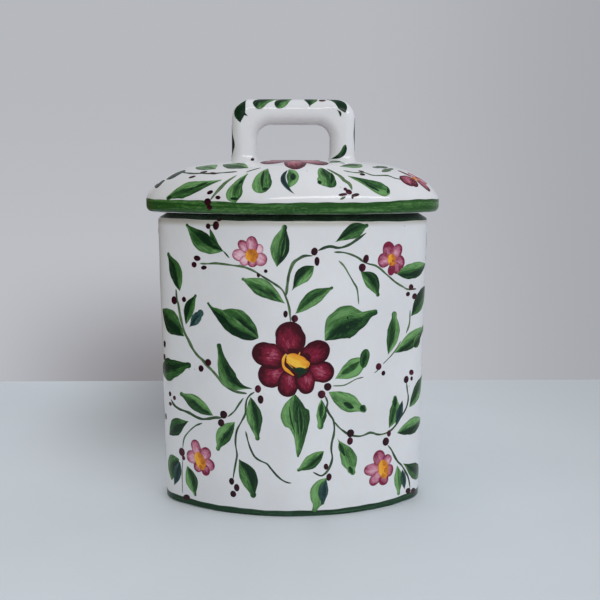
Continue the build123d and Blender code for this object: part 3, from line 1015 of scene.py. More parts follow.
# The large flower's middle: points and width
FLOWER_HEART = [([(-5.2, 78.4), (8.4, 76.8)], 12.8)]
FLOWER_DISC = [([(-3.7, 82.1), (6.8, 77.0)], 6.8)]
FLOWER_OCHRE_LINES = [
    ([(-4, 83.4), (-5.4, 80.4), (-5.2, 76.8), (-2.5, 74.2), (-0.1, 72.3)], 1.6),
    ([(-4, 80.2), (-2.7, 77.7), (-0.6, 76.1)], 1),
    ([(2.2, 82.4), (2.9, 84.2)], 1),
    ([(6, 80), (7.4, 78.4), (6.7, 76.1)], 1.1),
]
FLOWER_DARK_LINES = [
    ([(-3.6, 78.6), (-2.2, 76.6), (-0.2, 75.4), (3.2, 75), (6.7, 75.6)], 0.9),
    ([(3, 75), (2.3, 70.6)], 2.2),
]
FLOWER_BLOT = [([(0.0, 75.1), (6.2, 74.5)], 3.4)]
FLOWER_SHADOWS = [
    ([(-3.8, 85.6), (0.4, 84.2), (3.8, 85.2)], 3),
    ([(5.4, 83.8), (8.2, 80.4)], 2.4),
    ([(-7.8, 79.4), (-5, 77.4)], 2.4),
]
# Small flowers: line and width of the middle, then each petal's tip, root, width and tone
SMALL_FLOWERS = [
    (
        [(-23.2, 133.6), (-18.6, 129.4)], 6.8,
        [
            ((-31, 132.2), (-22.4, 130.8), 6, 0.1),
            ((-27, 127.8), (-21.6, 130.8), 5, 0.05),
            ((-27.6, 138.4), (-21.6, 133), 5, 0.36),
            ((-16, 136.8), (-19.4, 131.6), 5, 0.05),
            ((-20.9, 141), (-20.4, 132.6), 6, 0.32),
            ((-20.4, 125.8), (-20.4, 130.6), 5.2, 0.5),
            ((-13.6, 128.2), (-19.6, 131.4), 6.4, 0.26),
        ],
    ),
    (
        [(51.6, 131.4), (52.4, 125.4)], 5,
        [
            ((43.4, 128.2), (51.4, 128.8), 7.4, 0.5),
            ((60.9, 125.8), (53, 128.6), 7.2, 0.48),
            ((48.2, 137.4), (51.6, 129.4), 7.6, 0.64),
            ((58.2, 135.6), (53, 129.2), 6.6, 0.44),
            ((57.4, 121.8), (53.4, 127), 5.6, 0.62),
            ((51.2, 120.6), (53.4, 127), 4.6, 0.98),
        ],
    ),
    (
        [(-54.2, 29.4), (-49.6, 20.8)], 6.6,
        [
            ((-61.2, 26.2), (-52.6, 26.6), 7.4, 0.24),
            ((-55.9, 35.8), (-52.4, 27.4), 6.4, 0.3),
            ((-45.6, 31.8), (-51.4, 26.4), 6.6, 0.4),
            ((-54.6, 19.2), (-51.8, 24.4), 5.6, 0.48),
            ((-43, 22.4), (-49.6, 25.4), 6, 0.34),
            ((-47, 18.2), (-50.4, 24), 5.4, 0.7),
        ],
    ),
    (
        [(48.8, 25.6), (51.2, 15.6)], 6.6,
        [
            ((37.6, 21.6), (48.6, 20.8), 6.8, 0.34),
            ((41.2, 14), (49, 19), 6.2, 0.4),
            ((45.3, 30.8), (48.8, 22.6), 7.6, 0.54),
            ((54, 27.6), (50.2, 22.2), 6, 0.34),
            ((56.6, 18.6), (50.8, 20), 6.6, 0.5),
            ((49.8, 12), (50, 18), 6.4, 0.62),
        ],
    ),
]

# Decoration of the lid, q measured in from the top of the rim ----------------------------
LID_LEAVES = [
    ([(-40.4, 11.3), (-47, 9), (-53.5, 6.9), (-59.5, 5.4), (-64.6, 3.2), (-69.2, 0.4)],
     [(0, 0.4), (0.24, 3.8), (0.46, 7.8), (0.66, 8.8), (0.82, 5.6), (0.91, 3.2), (1, 2.2)], 0.42, 0.2),
    ([(-27.2, 15.8), (-29, 11), (-30, 6), (-29.7, 2.4), (-28.9, -0.8)],
     [(0, 0.4), (0.3, 4.2), (0.56, 7.2), (0.73, 8.4), (0.88, 6.2), (1, 1.2)], 0.34, 0.2),
    ([(-16.8, 20.2), (-17.5, 16.5), (-17.4, 12.4), (-16.8, 9), (-16, 6.5), (-15.2, 4.2)],
     [(0, 0.4), (0.23, 5.7), (0.47, 9.3), (0.66, 10.3), (0.82, 9.2), (0.93, 6.2), (1, 2.2)], 0.34, 0.2),
    ([(-3.4, 19.4), (-1.4, 16.6), (-0.9, 13.2), (-1.4, 10.2), (-2.6, 7.2)],
     [(0, 0.4), (0.22, 5), (0.48, 7.2), (0.7, 5.6), (0.88, 3), (1, 0.8)], 0.22, -0.2),
    ([(17.6, 21.2), (17.5, 17), (17.8, 13), (17, 10), (16.2, 7.4)],
     [(0, 0.6), (0.12, 4.4), (0.3, 7.2), (0.6, 9.7), (0.82, 9.8), (0.93, 7.8), (1, 4)], 0.34, 0.3),
    ([(30.8, 14.1), (37, 10.9), (42.4, 7.9), (46.5, 6.2), (50.6, 5)],
     [(0, 0.4), (0.3, 3.6), (0.55, 6.8), (0.72, 7.9), (0.86, 7.4), (0.95, 5), (1, 2.6)], 0.34, 0.2),
    ([(-53.4, 20), (-64, 22.4), (-76, 22.2)], 6.6, 0, 0.5, 0, 0.32, 0.2),
    ([(-30.4, 21), (-42, 24), (-57, 25.8)], 7.6, 0, 0.5, 0, 0.36, 0.3),
    ([(32, 22.8), (43, 24), (56, 26.4)], 5.6, 0, 0.55, 0, 0.36, 0.3),
    ([(-82.6, 11.6), (-79.8, 15), (-76, 18)], 8.6, 0, 0.5, 0, 1.05, 0),
    ([(-86, 6.4), (-84.2, 8.6), (-82.2, 11)], 6, 0, 0.5, 0, 1.05, 0),
    ([(30, 29.4), (42, 33), (57, 38)], 4.4, 0, 0.5, 0, 0.5, 0.3),
]
LID_DABS = [
    ([(-47.5, 9.8), (-54.7, 5.9)], 1.9, 1.1),
    ([(-65.8, 2), (-69, 0.6)], 1.8, 1),
    ([(-28, 11.6), (-29.3, 8.2)], 1.6, 1.1),
    ([(-31.4, 1.2), (-27, 1)], 1.6, 0.9),
    ([(-18.4, 18), (-17.4, 11.6), (-16, 6.2)], 1.5, 1.1),
    ([(-16.2, 6), (-12.8, 6.2)], 2, 0.95),
    ([(-0.9, 11), (-0.8, 16.2)], 3, 1.1),
    ([(12.9, 11), (13.5, 8.6)], 1.8, 1),
    ([(21.8, 16.6), (21, 12.5), (18.9, 8.8)], 2.2, 1.1),
    ([(37.9, 9.2), (41, 7.2), (44.4, 4.8)], 1.7, 1.1),
    ([(48.4, 3.6), (50, 5.6), (50.4, 7.8)], 1.5, 0.95),
    ([(-36, 24.4), (-49, 28.4)], 1.7, 0.8),
]
LID_BLUE_LEAVES = [
    ([(-4.2, 18.6), (-6, 14.6), (-5.9, 11), (-4.4, 8.2), (-2.4, 5.6), (-0.2, 3.6)],
     2.8, 0, 0.42, 0, 0.7, 0),
]
LID_STEMS = [
    ([(-77, 17.2), (-74, 16.7), (-70, 16.3), (-65, 15.9), (-60, 16), (-50, 15.9), (-45, 16.4),
      (-35, 17.4)], 1),
    ([(-33.2, 14.5), (-37, 9.6), (-38.4, 6.4), (-41.8, 0.4)], 1.9),
    ([(-22, 21.2), (-25.6, 19.2), (-29.2, 16.9)], 1.1),
    ([(21.2, 20.2), (23.8, 16.8), (26.3, 13.6), (27, 11.2), (29, 9.2), (29.2, 5.6)], 2.3),
    ([(31, 18.5), (36, 17), (40, 16.7), (44, 16.8), (46, 15.3), (49, 14.6), (58, 14.5), (61, 12.8),
      (66, 11.6)], 0.9),
    ([(58, 17.6), (66, 19.4), (75.6, 21.2)], 2),
    ([(58, 22.1), (66, 22.6), (74.7, 23.1)], 3),
    ([(25, 2.2), (22, 0.8)], 1.5),
]
LID_BERRIES = [
    (-58.5, 17, 4.4, 2.2), (-62, 13.3, 4, 1.8), (-87.4, 7.8, 4.6, 2), (-43.2, 4.2, 3.2, 2.2),
    (-38, 1.6, 2.8, 1.8), (-43.4, -0.6, 3.8, 3.6), (-42.4, -3.2, 3, 2.4), (-50, 16, 6, 1.5),
    (27.2, 4.6, 3.2, 2.6), (25.8, 6, 2, 1.8), (23.8, 3.2, 4.6, 1.4), (30.4, 3, 4, 1.6),
    (28.6, 2.2, 1.2, 2.4), (41, 15.3, 3.6, 1.6), (42.6, 17.9, 3.4, 1.4),
]
LID_SMALL_FLOWER = (
    [(76.6, 13), (80.2, 11.8)], 2.6,
    [
        ((75.2, 19), (77.6, 13.8), 3, 0.8),
        ((84, 16.4), (79, 12.8), 4.6, 0.2),
        ((87.2, 10), (79.6, 12), 4.8, 0.2),
        ((81.8, 4.8), (77.6, 11.4), 5.6, 0.55),
        ((64, 10.4), (76.6, 12), 7, 0.42),
        ((69.6, 7.8), (75.6, 11.2), 4.4, 1),
    ],
)
# The flower on the crown is drawn on the plan, from its middle: each petal's start and end,
# width and turn in degrees, and the points and width of its heart and its ochre spot
CROWN_MIDDLE, CROWN_PETAL, CROWN_PETAL_WIDTH = (0.8, -18.8), (0.8, 19.6), 11.0
CROWN_PETAL_TURNS = (-91, -149, -38, 18, 66, 114, 162)
TO_LOOP, SHORT = 0.3, 0.66  # petals that turn to the handle this much are this much shorter
CROWN_HEART = ([(-3.2, 0.6), (3.2, 0.4)], 6.4)
CROWN_OCHRE = ([(-2.4, 4.2), (2.4, 3.8)], 4.6)

# Leaves on the handle: p along the loop from the left foot, a round the bar
HANDLE_LEAVES = [
    ([(33.8, 9.2), (29.6, 6.6), (25.4, 5.2), (20.8, 2.6)], 6.8, 0, 0.56, 0, 1, 0.15),
    ([(26.2, 4.8), (28, 0.4)], 2.2, 0.3, 0.3, 0, 0.95, 0),
    ([(36.6, 2.2), (40.8, 5.4), (50.5, 8.8)], 6.4, 0, 0.3, 0, 0.6, 0.3),
    ([(49.8, 1.7), (52, 5), (57.6, 8.8)], 6.4, 0, 0.34, 0, 0.52, 0.3),
    ([(66.4, 2.4), (67, 5.8), (67.6, 11.2)], 7.2, 0, 0.62, 0, 0.72, 0.3),
    ([(75.2, 8.6), (82.6, 6.9), (89.6, 4)], 5.4, 0, 0.64, 0, 0.95, 0.2),
    ([(84.2, 2.4), (87.2, 2), (89.6, 0.8)], 1.3, 0, 0.6, 0, 0.9, 0),
    ([(109.2, 1.4), (112.8, 0.4), (115.2, -2), (116.4, -6)], 3, 0, 0.35, 0, 0.75, 0.2),
]
# Leaves on the outer sides of the legs, seen edge on from the front
HANDLE_SIDE_LEAVES = [
    ([(17, 9.7), (8.4, 9.9), (0.8, 9.4)], 8.4, 0, 0.6, 0, 1, 0),
    ([(95.5, 10.3), (104, 10.5), (112.4, 10.2)], 6.8, 0, 0.5, 0, 1, 0),
]
HANDLE_BERRIES = [(73.2, 7, 3.8, 2), (-0.3, -4, 1.4, 2)]


# Building the decoration ----------------------------------------------------------------
# How far each kind of stroke stands out, so that later ones cover earlier ones
LEAF_LIFT, BLUE_LIFT, TOP_LIFT, DAB_LIFT = PAINT + 0.02, PAINT + 0.035, PAINT + 0.045, PAINT + 0.05
BERRY_LIFT, MIDDLE_LIFT, HANDLE_LIFT = PAINT + 0.045, PAINT + 0.045, PAINT + 0.06
NEXT_LIFT = 0.002  # between crossing strokes of one kind
PALE, CORE, PALE_CORE = 0.3, 0.42, 0.2  # the tone below which a leaf's core is fainter, and both
SWAY_S, SWAY_Q, CALM_FOOT = (1.6, 17), (1.2, 23), 12  # how far the second side strays, and over what


def as_drawn(points):
    return points


def on_back(points):
    """The painter's second side: the same spray the other way round, a little off."""
    moved = []
    for s, q in points:
        off_s = SWAY_S[0] * sin(q / SWAY_S[1])
        off_q = 0.0 if q < CALM_FOOT else SWAY_Q[0] * sin(s / SWAY_Q[1])
        moved.append((BACK - s + off_s, q + off_q))
    return moved


def on_lid_back(points):
    return [(LID_BACK - s, q) for s, q in points]


def on_handle_back(points):
    """The same stroke turned half round the jar, onto the back of the loop."""
    half_way = half_way_round(HANDLE_LEG / 2)
    return [(HANDLE_LENGTH - p, half_way - a) for p, a in points]


def add_marks(paint, surface, rows, shape, lift, tone, place=as_drawn, **manner):
    """Strokes of one kind, from rows of points and width."""
    for points, width in rows:
        paint.stroke(surface, smooth_path(place(points)), shape(width), lift, tone, **manner)


def add_leaves(paint, surface, rows, place=as_drawn, lift=LEAF_LIFT):
    for k, (points, *form, tone, lean_to) in enumerate(rows):
        if len(form) == 1:
            bend, shape = 0, drawn_shape(form[0])
        else:
            width, bend, belly, nub = form
            shape = leaf_shape(width, belly, nub)
        if place is not as_drawn:
            bend, lean_to = -bend, -lean_to
        line = smooth_path(place(points), bend)
        varied = tone + draw.uniform(-0.07, 0.07)
        core = CORE if varied > PALE else PALE_CORE
        paint.stroke(surface, line, shape, lift + NEXT_LIFT * (k % 5), varied, lean_to, core=core)


def add_dabs(paint, surface, rows, place=as_drawn):
    for points, width, tone in rows:
        shape = leaf_shape(1.35 * width, belly=0.45, full=0.75)
        paint.stroke(surface, smooth_path(place(points)), shape, DAB_LIFT, tone, soft=1.0)


def add_stems(paint, surface, rows, place=as_drawn):
    for k, (points, width) in enumerate(rows):
        lift = PAINT + NEXT_LIFT * (k % 4)
        tone = draw.uniform(0.3, 0.7)
        paint.stroke(surface, smooth_path(place(points)), line_shape(width), lift, tone)


def add_berries(paint, surface, rows, place=as_drawn):
    for s, q, width, height in rows:
        (s, q), turn = place([(s, q)])[0], draw.uniform(-0.35, 0.35)
        if width > height:
            turn += pi / 2
            width, height = height, width
        reach = np.array([sin(turn), cos(turn)]) * height / 2
        line = smooth_path([(s - reach[0], q - reach[1]), (s + reach[0], q + reach[1])])
        tone = draw.uniform(0.35, 0.75)
        paint.stroke(surface, line, blob_shape(width), BERRY_LIFT, tone, 0.2, fine=0.6)


def add_petals(paint, surface, rows, place, next_lift=0.005, fine=0.7):
    for k, (tip, root, width, tone) in enumerate(rows):
        line = smooth_path(place([root, tip]), draw.uniform(-0.25, 0.25))
        lean_to = draw.uniform(-0.2, 0.2)
        paint.stroke(surface, line, petal_shape(width), PAINT + next_lift * k, tone, lean_to, fine=fine)


def add_small_flower(petals, middles, surface, flower, place=as_drawn):
    line, wide, rows = flower
    add_petals(petals, surface, rows, place)
    add_marks(middles, surface, [(line, wide)], blob_shape, MIDDLE_LIFT, 0.52, place, lean=0.25, fine=0.6)
    start, run = np.array(line[0]), np.array(line[1]) - np.array(line[0])
    for share, off in ((0.25, 0.3), (0.8, -0.35), (0.6, 0.45)):  # loose ends of the middle's strokes
        spot = start + share * run
        out = spot + off * wide * unit(np.array([-run[1], run[0]])) + 0.15 * run * (share - 0.5)
        ends = [([spot, out], 0.42 * wide)]
        add_marks(middles, surface, ends, blob_shape, MIDDLE_LIFT + 0.005, 0.72, place, fine=0.6)


def add_big_flower(petals, middles, greens, surface, place=as_drawn):
    add_petals(petals, surface, BIG_PETALS, place, next_lift=0.006, fine=0.8)
    heart, shadow, disc, ochre_line, blot, dark_line = (
        PAINT + up for up in (0.044, 0.05, 0.07, 0.075, 0.08, 0.085)
    )
    add_marks(petals, surface, FLOWER_HEART, blob_shape, heart, 0.95, place, fine=0.8, soft=0.25)
    add_marks(petals, surface, FLOWER_SHADOWS, shadow_shape, shadow, 1.1, place, soft=0.6)
    add_marks(middles, surface, FLOWER_DISC, blob_shape, disc, 0.3, place, lean=0.3, fine=0.6)
    add_marks(middles, surface, FLOWER_OCHRE_LINES, line_shape, ochre_line, 0.45, place, fine=0.6)
    add_marks(greens, surface, FLOWER_BLOT, blob_shape, blot, 0.9, place, fine=0.6, soft=0.3)
    add_marks(greens, surface, FLOWER_DARK_LINES, line_shape, dark_line, 1.2, place, fine=0.6)


def crown_surface(x, y):
    return np.stack([x, y, dome_height(x, y)], -1)


def add_crown_flower(petals, middles, side):
    """One flower on each long side of the handle, its petals running under the loop."""

    def turned(points):
        return [(x * side, y * side) for x, y in points]

    def from_middle(points):
        return [(CROWN_MIDDLE[0] + x, CROWN_MIDDLE[1] + y) for x, y in points]

    for k, degrees in enumerate(CROWN_PETAL_TURNS):
        across, up = cos(radians(degrees)), sin(radians(degrees))
        near, far = CROWN_PETAL
        if up > TO_LOOP:
            far *= SHORT
        points = turned(from_middle([(across * near, up * near), (across * far, up * far)]))
        shape = petal_shape(CROWN_PETAL_WIDTH)
        lift = PAINT + 0.006 * k
        petals.stroke(crown_surface, smooth_path(points), shape, lift, 0.52, 0.1, fine=0.8)
    heart, spot = (
        [(from_middle(points), width)] for points, width in (CROWN_HEART, CROWN_OCHRE)
    )
    add_marks(petals, crown_surface, heart, blob_shape, PAINT + 0.045, 0.95, turned, fine=0.8)
    add_marks(middles, crown_surface, spot, blob_shape, PAINT + 0.07, 0.35, turned, fine=0.6)


# Materials ------------------------------------------------------------------------------
# the jar's glaze carries painted shade at the top of the wall, under the lid's overhang
glaze = glaze_material("white_glaze", (220, 223, 227), (212, 214, 218), shade_under_lid=True)
lid_glaze = glaze_material("lid_white_glaze", (219, 221, 224), (211, 213, 216))
leaf_green = paint_material(
    "leaf_green", [(114, 162, 100), (50, 94, 46), (12, 42, 24)], edge=(24, 58, 30), streak=0.46
)
stem_green = paint_material(
    "stem_green", [(104, 130, 92), (56, 80, 54), (28, 46, 34)], edge=(44, 66, 46), edge_share=0.2
)
berry_red = paint_material(
    "berry_burgundy", [(92, 30, 48), (48, 12, 26), (22, 5, 12)], edge=(18, 4, 10),
    streak=0.35, edge_share=0.3,
)
petal_red = paint_material(
    "petal_burgundy", [(200, 112, 136), (124, 22, 50), (60, 4, 20)], edge=(52, 4, 20),
    streak=0.42, edge_share=0.7, bowl=0.7, root=(70, 6, 18), grain=(0.35, 0.75, 1.0),
)
petal_pink = paint_material(
    "petal_pink", [(226, 192, 204), (186, 116, 140), (118, 30, 58)], edge=(134, 66, 96),
    streak=0.42, edge_share=0.42, bowl=0.55, root=(196, 104, 78), grain=(0.25, 0.6, 1.0),
    blotch=(0.2, 0.3, 3.0),
)
lid_petal_pink = paint_material(
    "lid_petal_pink", [(214, 158, 170), (168, 86, 106), (76, 12, 32)], edge=(88, 28, 52),
    streak=0.4, edge_share=0.6, bowl=0.6, root=(120, 20, 40), grain=(0.25, 0.6, 1.0),
)
ochre = paint_material(
    "centre_ochre", [(238, 192, 70), (224, 146, 40), (150, 78, 34)], edge=(190, 110, 40),
    streak=0.4, grain=(0.2, 0.6, 1.0),
)
band_green = paint_material(
    "band_green", [(104, 150, 86), (38, 82, 32), (16, 48, 22)], edge=(24, 58, 26),
    streak=0.4, edge_share=0.4, grain=(0.03, 0.9, 1.0), blotch=(0.02, 0.45, 3.0),
)
base_green = paint_material(
    "base_band_green", [(70, 104, 78), (28, 58, 38), (12, 34, 22)], edge=(18, 42, 28),
    streak=0.34, edge_share=0.4, grain=(0.03, 0.9, 1.0), blotch=(0.02, 0.45, 3.0),
)
blue_green = paint_material(
    "blue_green", [(112, 140, 132), (50, 82, 80), (18, 42, 44)], edge=(26, 50, 50)
)
shoulder_green = paint_material(
    "shoulder_green", [(56, 84, 56), (28, 50, 32), (12, 30, 20)], edge=(14, 34, 22),
    streak=0.4, edge_share=0.3, grain=(0.035, 0.6, 1.0),
)
bare_clay = clay_material("bare_clay", (206, 178, 150), (184, 148, 118))


# Pieces ---------------------------------------------------------------------------------
body = finish_piece(make_body(), glaze, "jar")
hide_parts("jar_body")
dome = finish_piece(make_dome(), lid_glaze, "lid")
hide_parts("lid_dome")
seat_ring = finish_piece(make_seat_ring(), lid_glaze, "lid")
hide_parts("lid_seat_ring")
handle = finish_piece(make_handle(), lid_glaze, "lid")
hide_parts("lid_handle")

foot_outer, foot_inner = lean(0, FOOT_EDGE + 0.1), lean(0, FOOT_RING - 0.5)  # clear of both edges
foot_ring = make_clay_ring("foot_clay", foot_outer, foot_inner, 0, 2 * CLAY)
finish_piece(foot_ring, bare_clay, "jar")
ledge_outer, ledge_inner = -SHOULDER_WIDTH - LEDGE_EDGE, -MOUTH + LEDGE_EDGE
ledge_ring = make_clay_ring("ledge_clay", ledge_outer, ledge_inner, LEDGE - CLAY, LEDGE + CLAY_PROUD)
finish_piece(ledge_ring, bare_clay, "jar")
seat_inner = FLANGE_OUT + 0.2
seat_clay = make_clay_ring("seat_clay", -SHOULDER_WIDTH, seat_inner, LEDGE - CLAY_PROUD, LEDGE + CLAY)
finish_piece(seat_clay, bare_clay, "lid")

leaves, stems, berries, petals, pinks, middles, blues = (Paint() for _ in range(7))
for place in (as_drawn, on_back):
    add_leaves(leaves, body_surface, WALL_LEAVES, place)
    add_leaves(leaves, body_surface, WALL_TOP_LEAVES, place, TOP_LIFT)
    add_leaves(blues, body_surface, WALL_BLUE_LEAVES, place, BLUE_LIFT)
    add_dabs(leaves, body_surface, WALL_DABS, place)
    add_stems(stems, body_surface, WALL_STEMS, place)
    add_berries(berries, body_surface, WALL_BERRIES, place)
    add_big_flower(petals, middles, leaves, body_surface, place)
    for flower in SMALL_FLOWERS:
        add_small_flower(pinks, middles, body_surface, flower, place)
add_leaves(leaves, body_surface, END_LEAVES)
add_stems(stems, body_surface, END_STEMS)
add_berries(berries, body_surface, END_BERRIES)
leaves.piece("wall_leaves", leaf_green, "jar", "green_paint")
blues.piece("wall_blue_leaves", blue_green, "jar", "green_paint")
stems.piece("wall_stems", stem_green, "jar", "green_paint")
berries.piece("wall_berries", berry_red, "jar", "burgundy_paint")
petals.piece("wall_large_flowers", petal_red, "jar", "burgundy_paint")
pinks.piece("wall_small_flowers", petal_pink, "jar", "burgundy_paint")
middles.piece("wall_flower_middles", ochre, "jar", "ochre_paint")

leaves, stems, berries, petals, middles, blues = (Paint() for _ in range(6))
for place in (as_drawn, on_lid_back):
    add_leaves(leaves, lid_surface, LID_LEAVES, place)
    add_leaves(blues, lid_surface, LID_BLUE_LEAVES, place, BLUE_LIFT)
    add_dabs(leaves, lid_surface, LID_DABS, place)
    add_stems(stems, lid_surface, LID_STEMS, place)
    add_berries(berries, lid_surface, LID_BERRIES, place)
    add_small_flower(petals, middles, lid_surface, LID_SMALL_FLOWER, place)
for side in (1, -1):
    add_crown_flower(petals, middles, side)
leaves.piece("lid_leaves", leaf_green, "lid", "green_paint")
blues.piece("lid_blue_leaves", blue_green, "lid", "green_paint")
stems.piece("lid_stems", stem_green, "lid", "green_paint")
berries.piece("lid_berries", berry_red, "lid", "burgundy_paint")
petals.piece("lid_flowers", lid_petal_pink, "lid", "burgundy_paint")
middles.piece("lid_flower_middles", ochre, "lid", "ochre_paint")

leaves, berries = Paint(), Paint()
for place in (as_drawn, on_handle_back):
    add_leaves(leaves, handle_surface, HANDLE_LEAVES, place, HANDLE_LIFT)
    add_berries(berries, handle_surface, HANDLE_BERRIES, place)
add_leaves(leaves, handle_surface, HANDLE_SIDE_LEAVES, as_drawn, HANDLE_LIFT)
leaves.piece("handle_leaves", leaf_green, "lid", "green_paint")
berries.piece("handle_berries", berry_red, "lid", "burgundy_paint")

whole_lid = 2 * LID_BACK
rim_low = wavering(-6.9, (0.6, 2, -pi / 2), (0.12, 23, 0), whole=whole_lid)
rim_high = wavering(-0.1, (0.75, 2, -pi / 2), (0.25, 7, 0.5), (0.1, 31, 0), whole=whole_lid)
band("rim_band", lid_surface, whole_lid, rim_low, rim_high, band_green, "lid")
base_low = wavering(0.15, (0.1, 9, 0))
base_high = wavering(3.6, (0.7, 2, -pi / 2), (0.2, 3, 2.0), (0.12, 11, 1.0), (0.08, 29, 0))
band("base_band", body_surface, 2 * BACK, base_low, base_high, base_green, "jar")
shoulder_low = wavering(148.3, (-0.6, 1, 0), (0.2, 4, 0.7), (0.12, 17, 0.3))
shoulder_high = wavering(154.2, (0.15, 6, 0.2))
band("shoulder_band", body_surface, 2 * BACK, shoulder_low, shoulder_high, shoulder_green, "jar", rows=12)


# Stage, light and camera ----------------------------------------------------------------
CAMERA_PLACE, CAMERA_TILT, CAMERA_TURN, CAMERA_ROLL = (3.8, -527.0, 168.0), 6.84, -1.35, 0.09
TABLE_HALF, TABLE_THICK, TABLE_EDGE = 305.0, 18.0, 2.0
# TABLE_SHADE is the colour of the jar's painted shadow on the table
TABLE_SHADE, TABLE_RIGHT = srgb(138, 139, 141), srgb(190, 197, 201)
SHADE_PLACE, SHADE_REACH = (-0.055, 0.20), (0.15, 0.22)  # where the table's painted shadow of the jar lies, left of it, metres
BACKDROP_LEFT, BACKDROP_RIGHT, ROOM_LEFT = srgb(182, 184, 190), srgb(166, 168, 174), srgb(86, 74, 58)
BACKDROP_LOW = srgb(192, 194, 200)  # the foot of the wall is a little lighter
# WALL_SHADE is the colour of the jar's painted shadow on the wall
WALL_SHADE = srgb(134, 131, 134)
SOFT_LEFT, SOFT_RIGHT = srgb(213, 212, 211), srgb(208, 211, 217)  # diffuse light from each side
FAR_LEFT = srgb(96, 78, 40)  # the unlit end of the room
SKY_LOW, SKY_HIGH = 1.07, 1.22  # the diffuse light's strength at the horizon and overhead


def make_camera():
    data = bpy.data.cameras.new("photo_camera")
    data.lens, data.sensor_width, data.sensor_fit = 60.0, 36.0, "HORIZONTAL"
    data.clip_start, data.clip_end = 0.01, 50.0
    camera = bpy.data.objects.new("photo_camera", data)
    turn = Matrix.Rotation(radians(CAMERA_TURN), 4, "Z")
    tilt = Matrix.Rotation(radians(90 - CAMERA_TILT), 4, "X")
    roll = Matrix.Rotation(radians(CAMERA_ROLL), 4, "Z")
    camera.matrix_world = turn @ Matrix.Translation(Vector(CAMERA_PLACE) * MM) @ tilt @ roll
    bpy.context.scene.collection.objects.link(camera)
    bpy.context.scene.camera = camera


def table_material():
    """Pale paint, with a painted shadow of the jar to its left, and a little darker to the right."""
    material = bpy.data.materials.new("table_paint")
    n = Nodes(material)
    place = n.place()
    x, y, _ = n.axes(place)
    cloudy = n.spread(n.noise(place, 6.0, detail=5.0), 0.3, 0.7)
    colour = n.mix(cloudy, srgb(206, 214, 219), srgb(211, 218, 223))
    # painted shadow of the jar on the table, darkest at SHADE_PLACE
    aside = n.math("DIVIDE", n.minus(x, SHADE_PLACE[0]), SHADE_REACH[0])
    nearer = n.math("DIVIDE", n.minus(SHADE_PLACE[1], y), SHADE_REACH[1])
    nearer = n.math("MAXIMUM", nearer, 0.0)
    away = n.math("SQRT", n.plus(n.times(aside, aside), n.times(nearer, nearer)))
    colour = n.mix(n.spread(away, 1.0, 0.0), colour, TABLE_SHADE)
    colour = n.mix(n.spread(x, 0.06, 0.3), colour, TABLE_RIGHT)
    bump = n.bump(n.noise(place, 700.0), strength=0.3, distance=0.0001)
    n.principled({"Base Color": colour, "Roughness": 0.55, "Normal": bump})
    return material


def make_table():
    """Square table top with softened edges."""
    wide, thick = 2 * TABLE_HALF * MM, TABLE_THICK * MM
    shaped = bmesh.new()
    bmesh.ops.create_cube(shaped, size=1.0)
    bmesh.ops.scale(shaped, vec=(wide, wide, thick), verts=shaped.verts)
    bmesh.ops.translate(shaped, vec=(0, 0, -thick / 2), verts=shaped.verts)
    edge = {"offset": TABLE_EDGE * MM, "segments": 4, "profile": 0.5}
    bmesh.ops.bevel(shaped, geom=shaped.edges[:], affect="EDGES", **edge)
    mesh = bpy.data.meshes.new("table_top")
    shaped.to_mesh(mesh)
    shaped.free()
    mesh.materials.append(table_material())
    table = bpy.data.objects.new("table_top", mesh)
    bpy.context.scene.collection.objects.link(table)


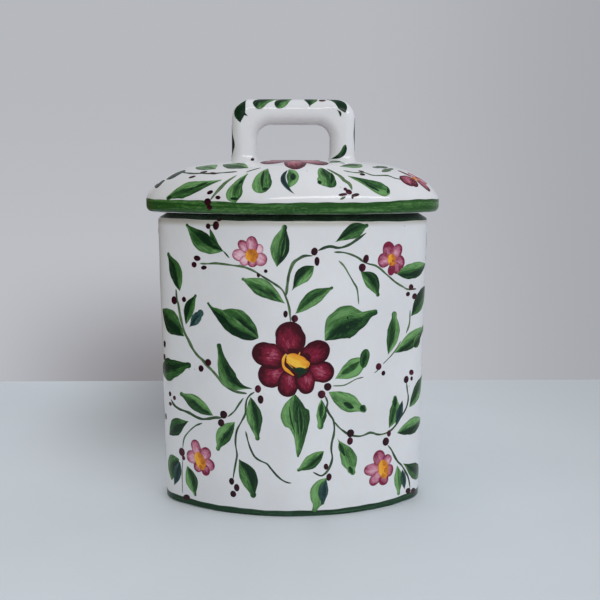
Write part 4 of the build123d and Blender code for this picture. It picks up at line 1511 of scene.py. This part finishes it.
def make_world():
    """Grey wall seen directly and in gloss, with a painted shadow of the jar to its left, and plain soft
    light for everything else.
    The spreads say between which shares of x, y and z, of the way looked, each tone sets in."""
    world = bpy.data.worlds.new("studio")
    bpy.context.scene.world = world
    n = Nodes(world)
    rays = n("ShaderNodeLightPath").outputs
    x, y, z = n.axes(n("ShaderNodeTexCoord").outputs["Generated"])
    grey = n.mix(n.spread(z, 0.1, -0.15, 0.0, 0.8), BACKDROP_LEFT, BACKDROP_LOW)
    grey = n.mix(n.spread(x, 0.06, 0.34), grey, BACKDROP_RIGHT)
    behind = n.times(n.spread(x, -0.08, -0.42), n.spread(y, 0.2, 0.6), n.spread(z, 0.15, 0.0))
    room = n.math("MAXIMUM", n.spread(x, -0.34, -0.7), behind)
    only_mirrored = n.minus(1.0, rays["Is Camera Ray"])
    grey = n.mix(n.times(room, only_mirrored), grey, ROOM_LEFT)
    # painted shadow of the jar on the wall, left of it and low down
    shade = n.times(n.spread(x, -0.32, -0.1), n.spread(x, 0.1, -0.1))
    shade = n.times(shade, n.spread(z, -0.061, -0.204), n.spread(y, 0.0, 0.5))
    grey = n.mix(shade, grey, WALL_SHADE)
    wall = n("ShaderNodeBackground", {"Color": grey, "Strength": 1.0})
    soft = n.mix(n.spread(x, 0.7, -0.9), SOFT_RIGHT, SOFT_LEFT)
    soft = n.mix(n.spread(x, -0.72, -0.97), soft, FAR_LEFT)
    strength = n.spread(z, 0.0, 1.0, SKY_LOW, SKY_HIGH)
    light = n("ShaderNodeBackground", {"Color": soft, "Strength": strength})
    seen = n.math("MAXIMUM", rays["Is Camera Ray"], rays["Is Glossy Ray"])
    seen = n.math("MAXIMUM", seen, rays["Is Transmission Ray"])
    mixed = n("ShaderNodeMixShader", {0: seen, 1: light.outputs[0], 2: wall.outputs[0]})
    n("ShaderNodeOutputWorld", {"Surface": mixed.outputs[0]})


def make_lamp(name, place, aim, size, watts, colour):
    data = bpy.data.lights.new(name, "AREA")
    data.shape, data.size, data.size_y = "RECTANGLE", size[0] * MM, size[1] * MM
    data.energy, data.color = watts, colour
    lamp = bpy.data.objects.new(name, data)
    lamp.location = Vector(place) * MM
    lamp.rotation_euler = (Vector(aim) - Vector(place)).to_track_quat("-Z", "Y").to_euler()
    bpy.context.scene.collection.objects.link(lamp)


make_camera()
make_table()
make_world()
make_lamp(
    "window", place=(590, -1157, 910), aim=(0, 0, 160), size=(2340, 190), watts=8.2, colour=(1.0, 0.99, 0.98)
)

bpy.context.scene.view_settings.view_transform = "Standard"
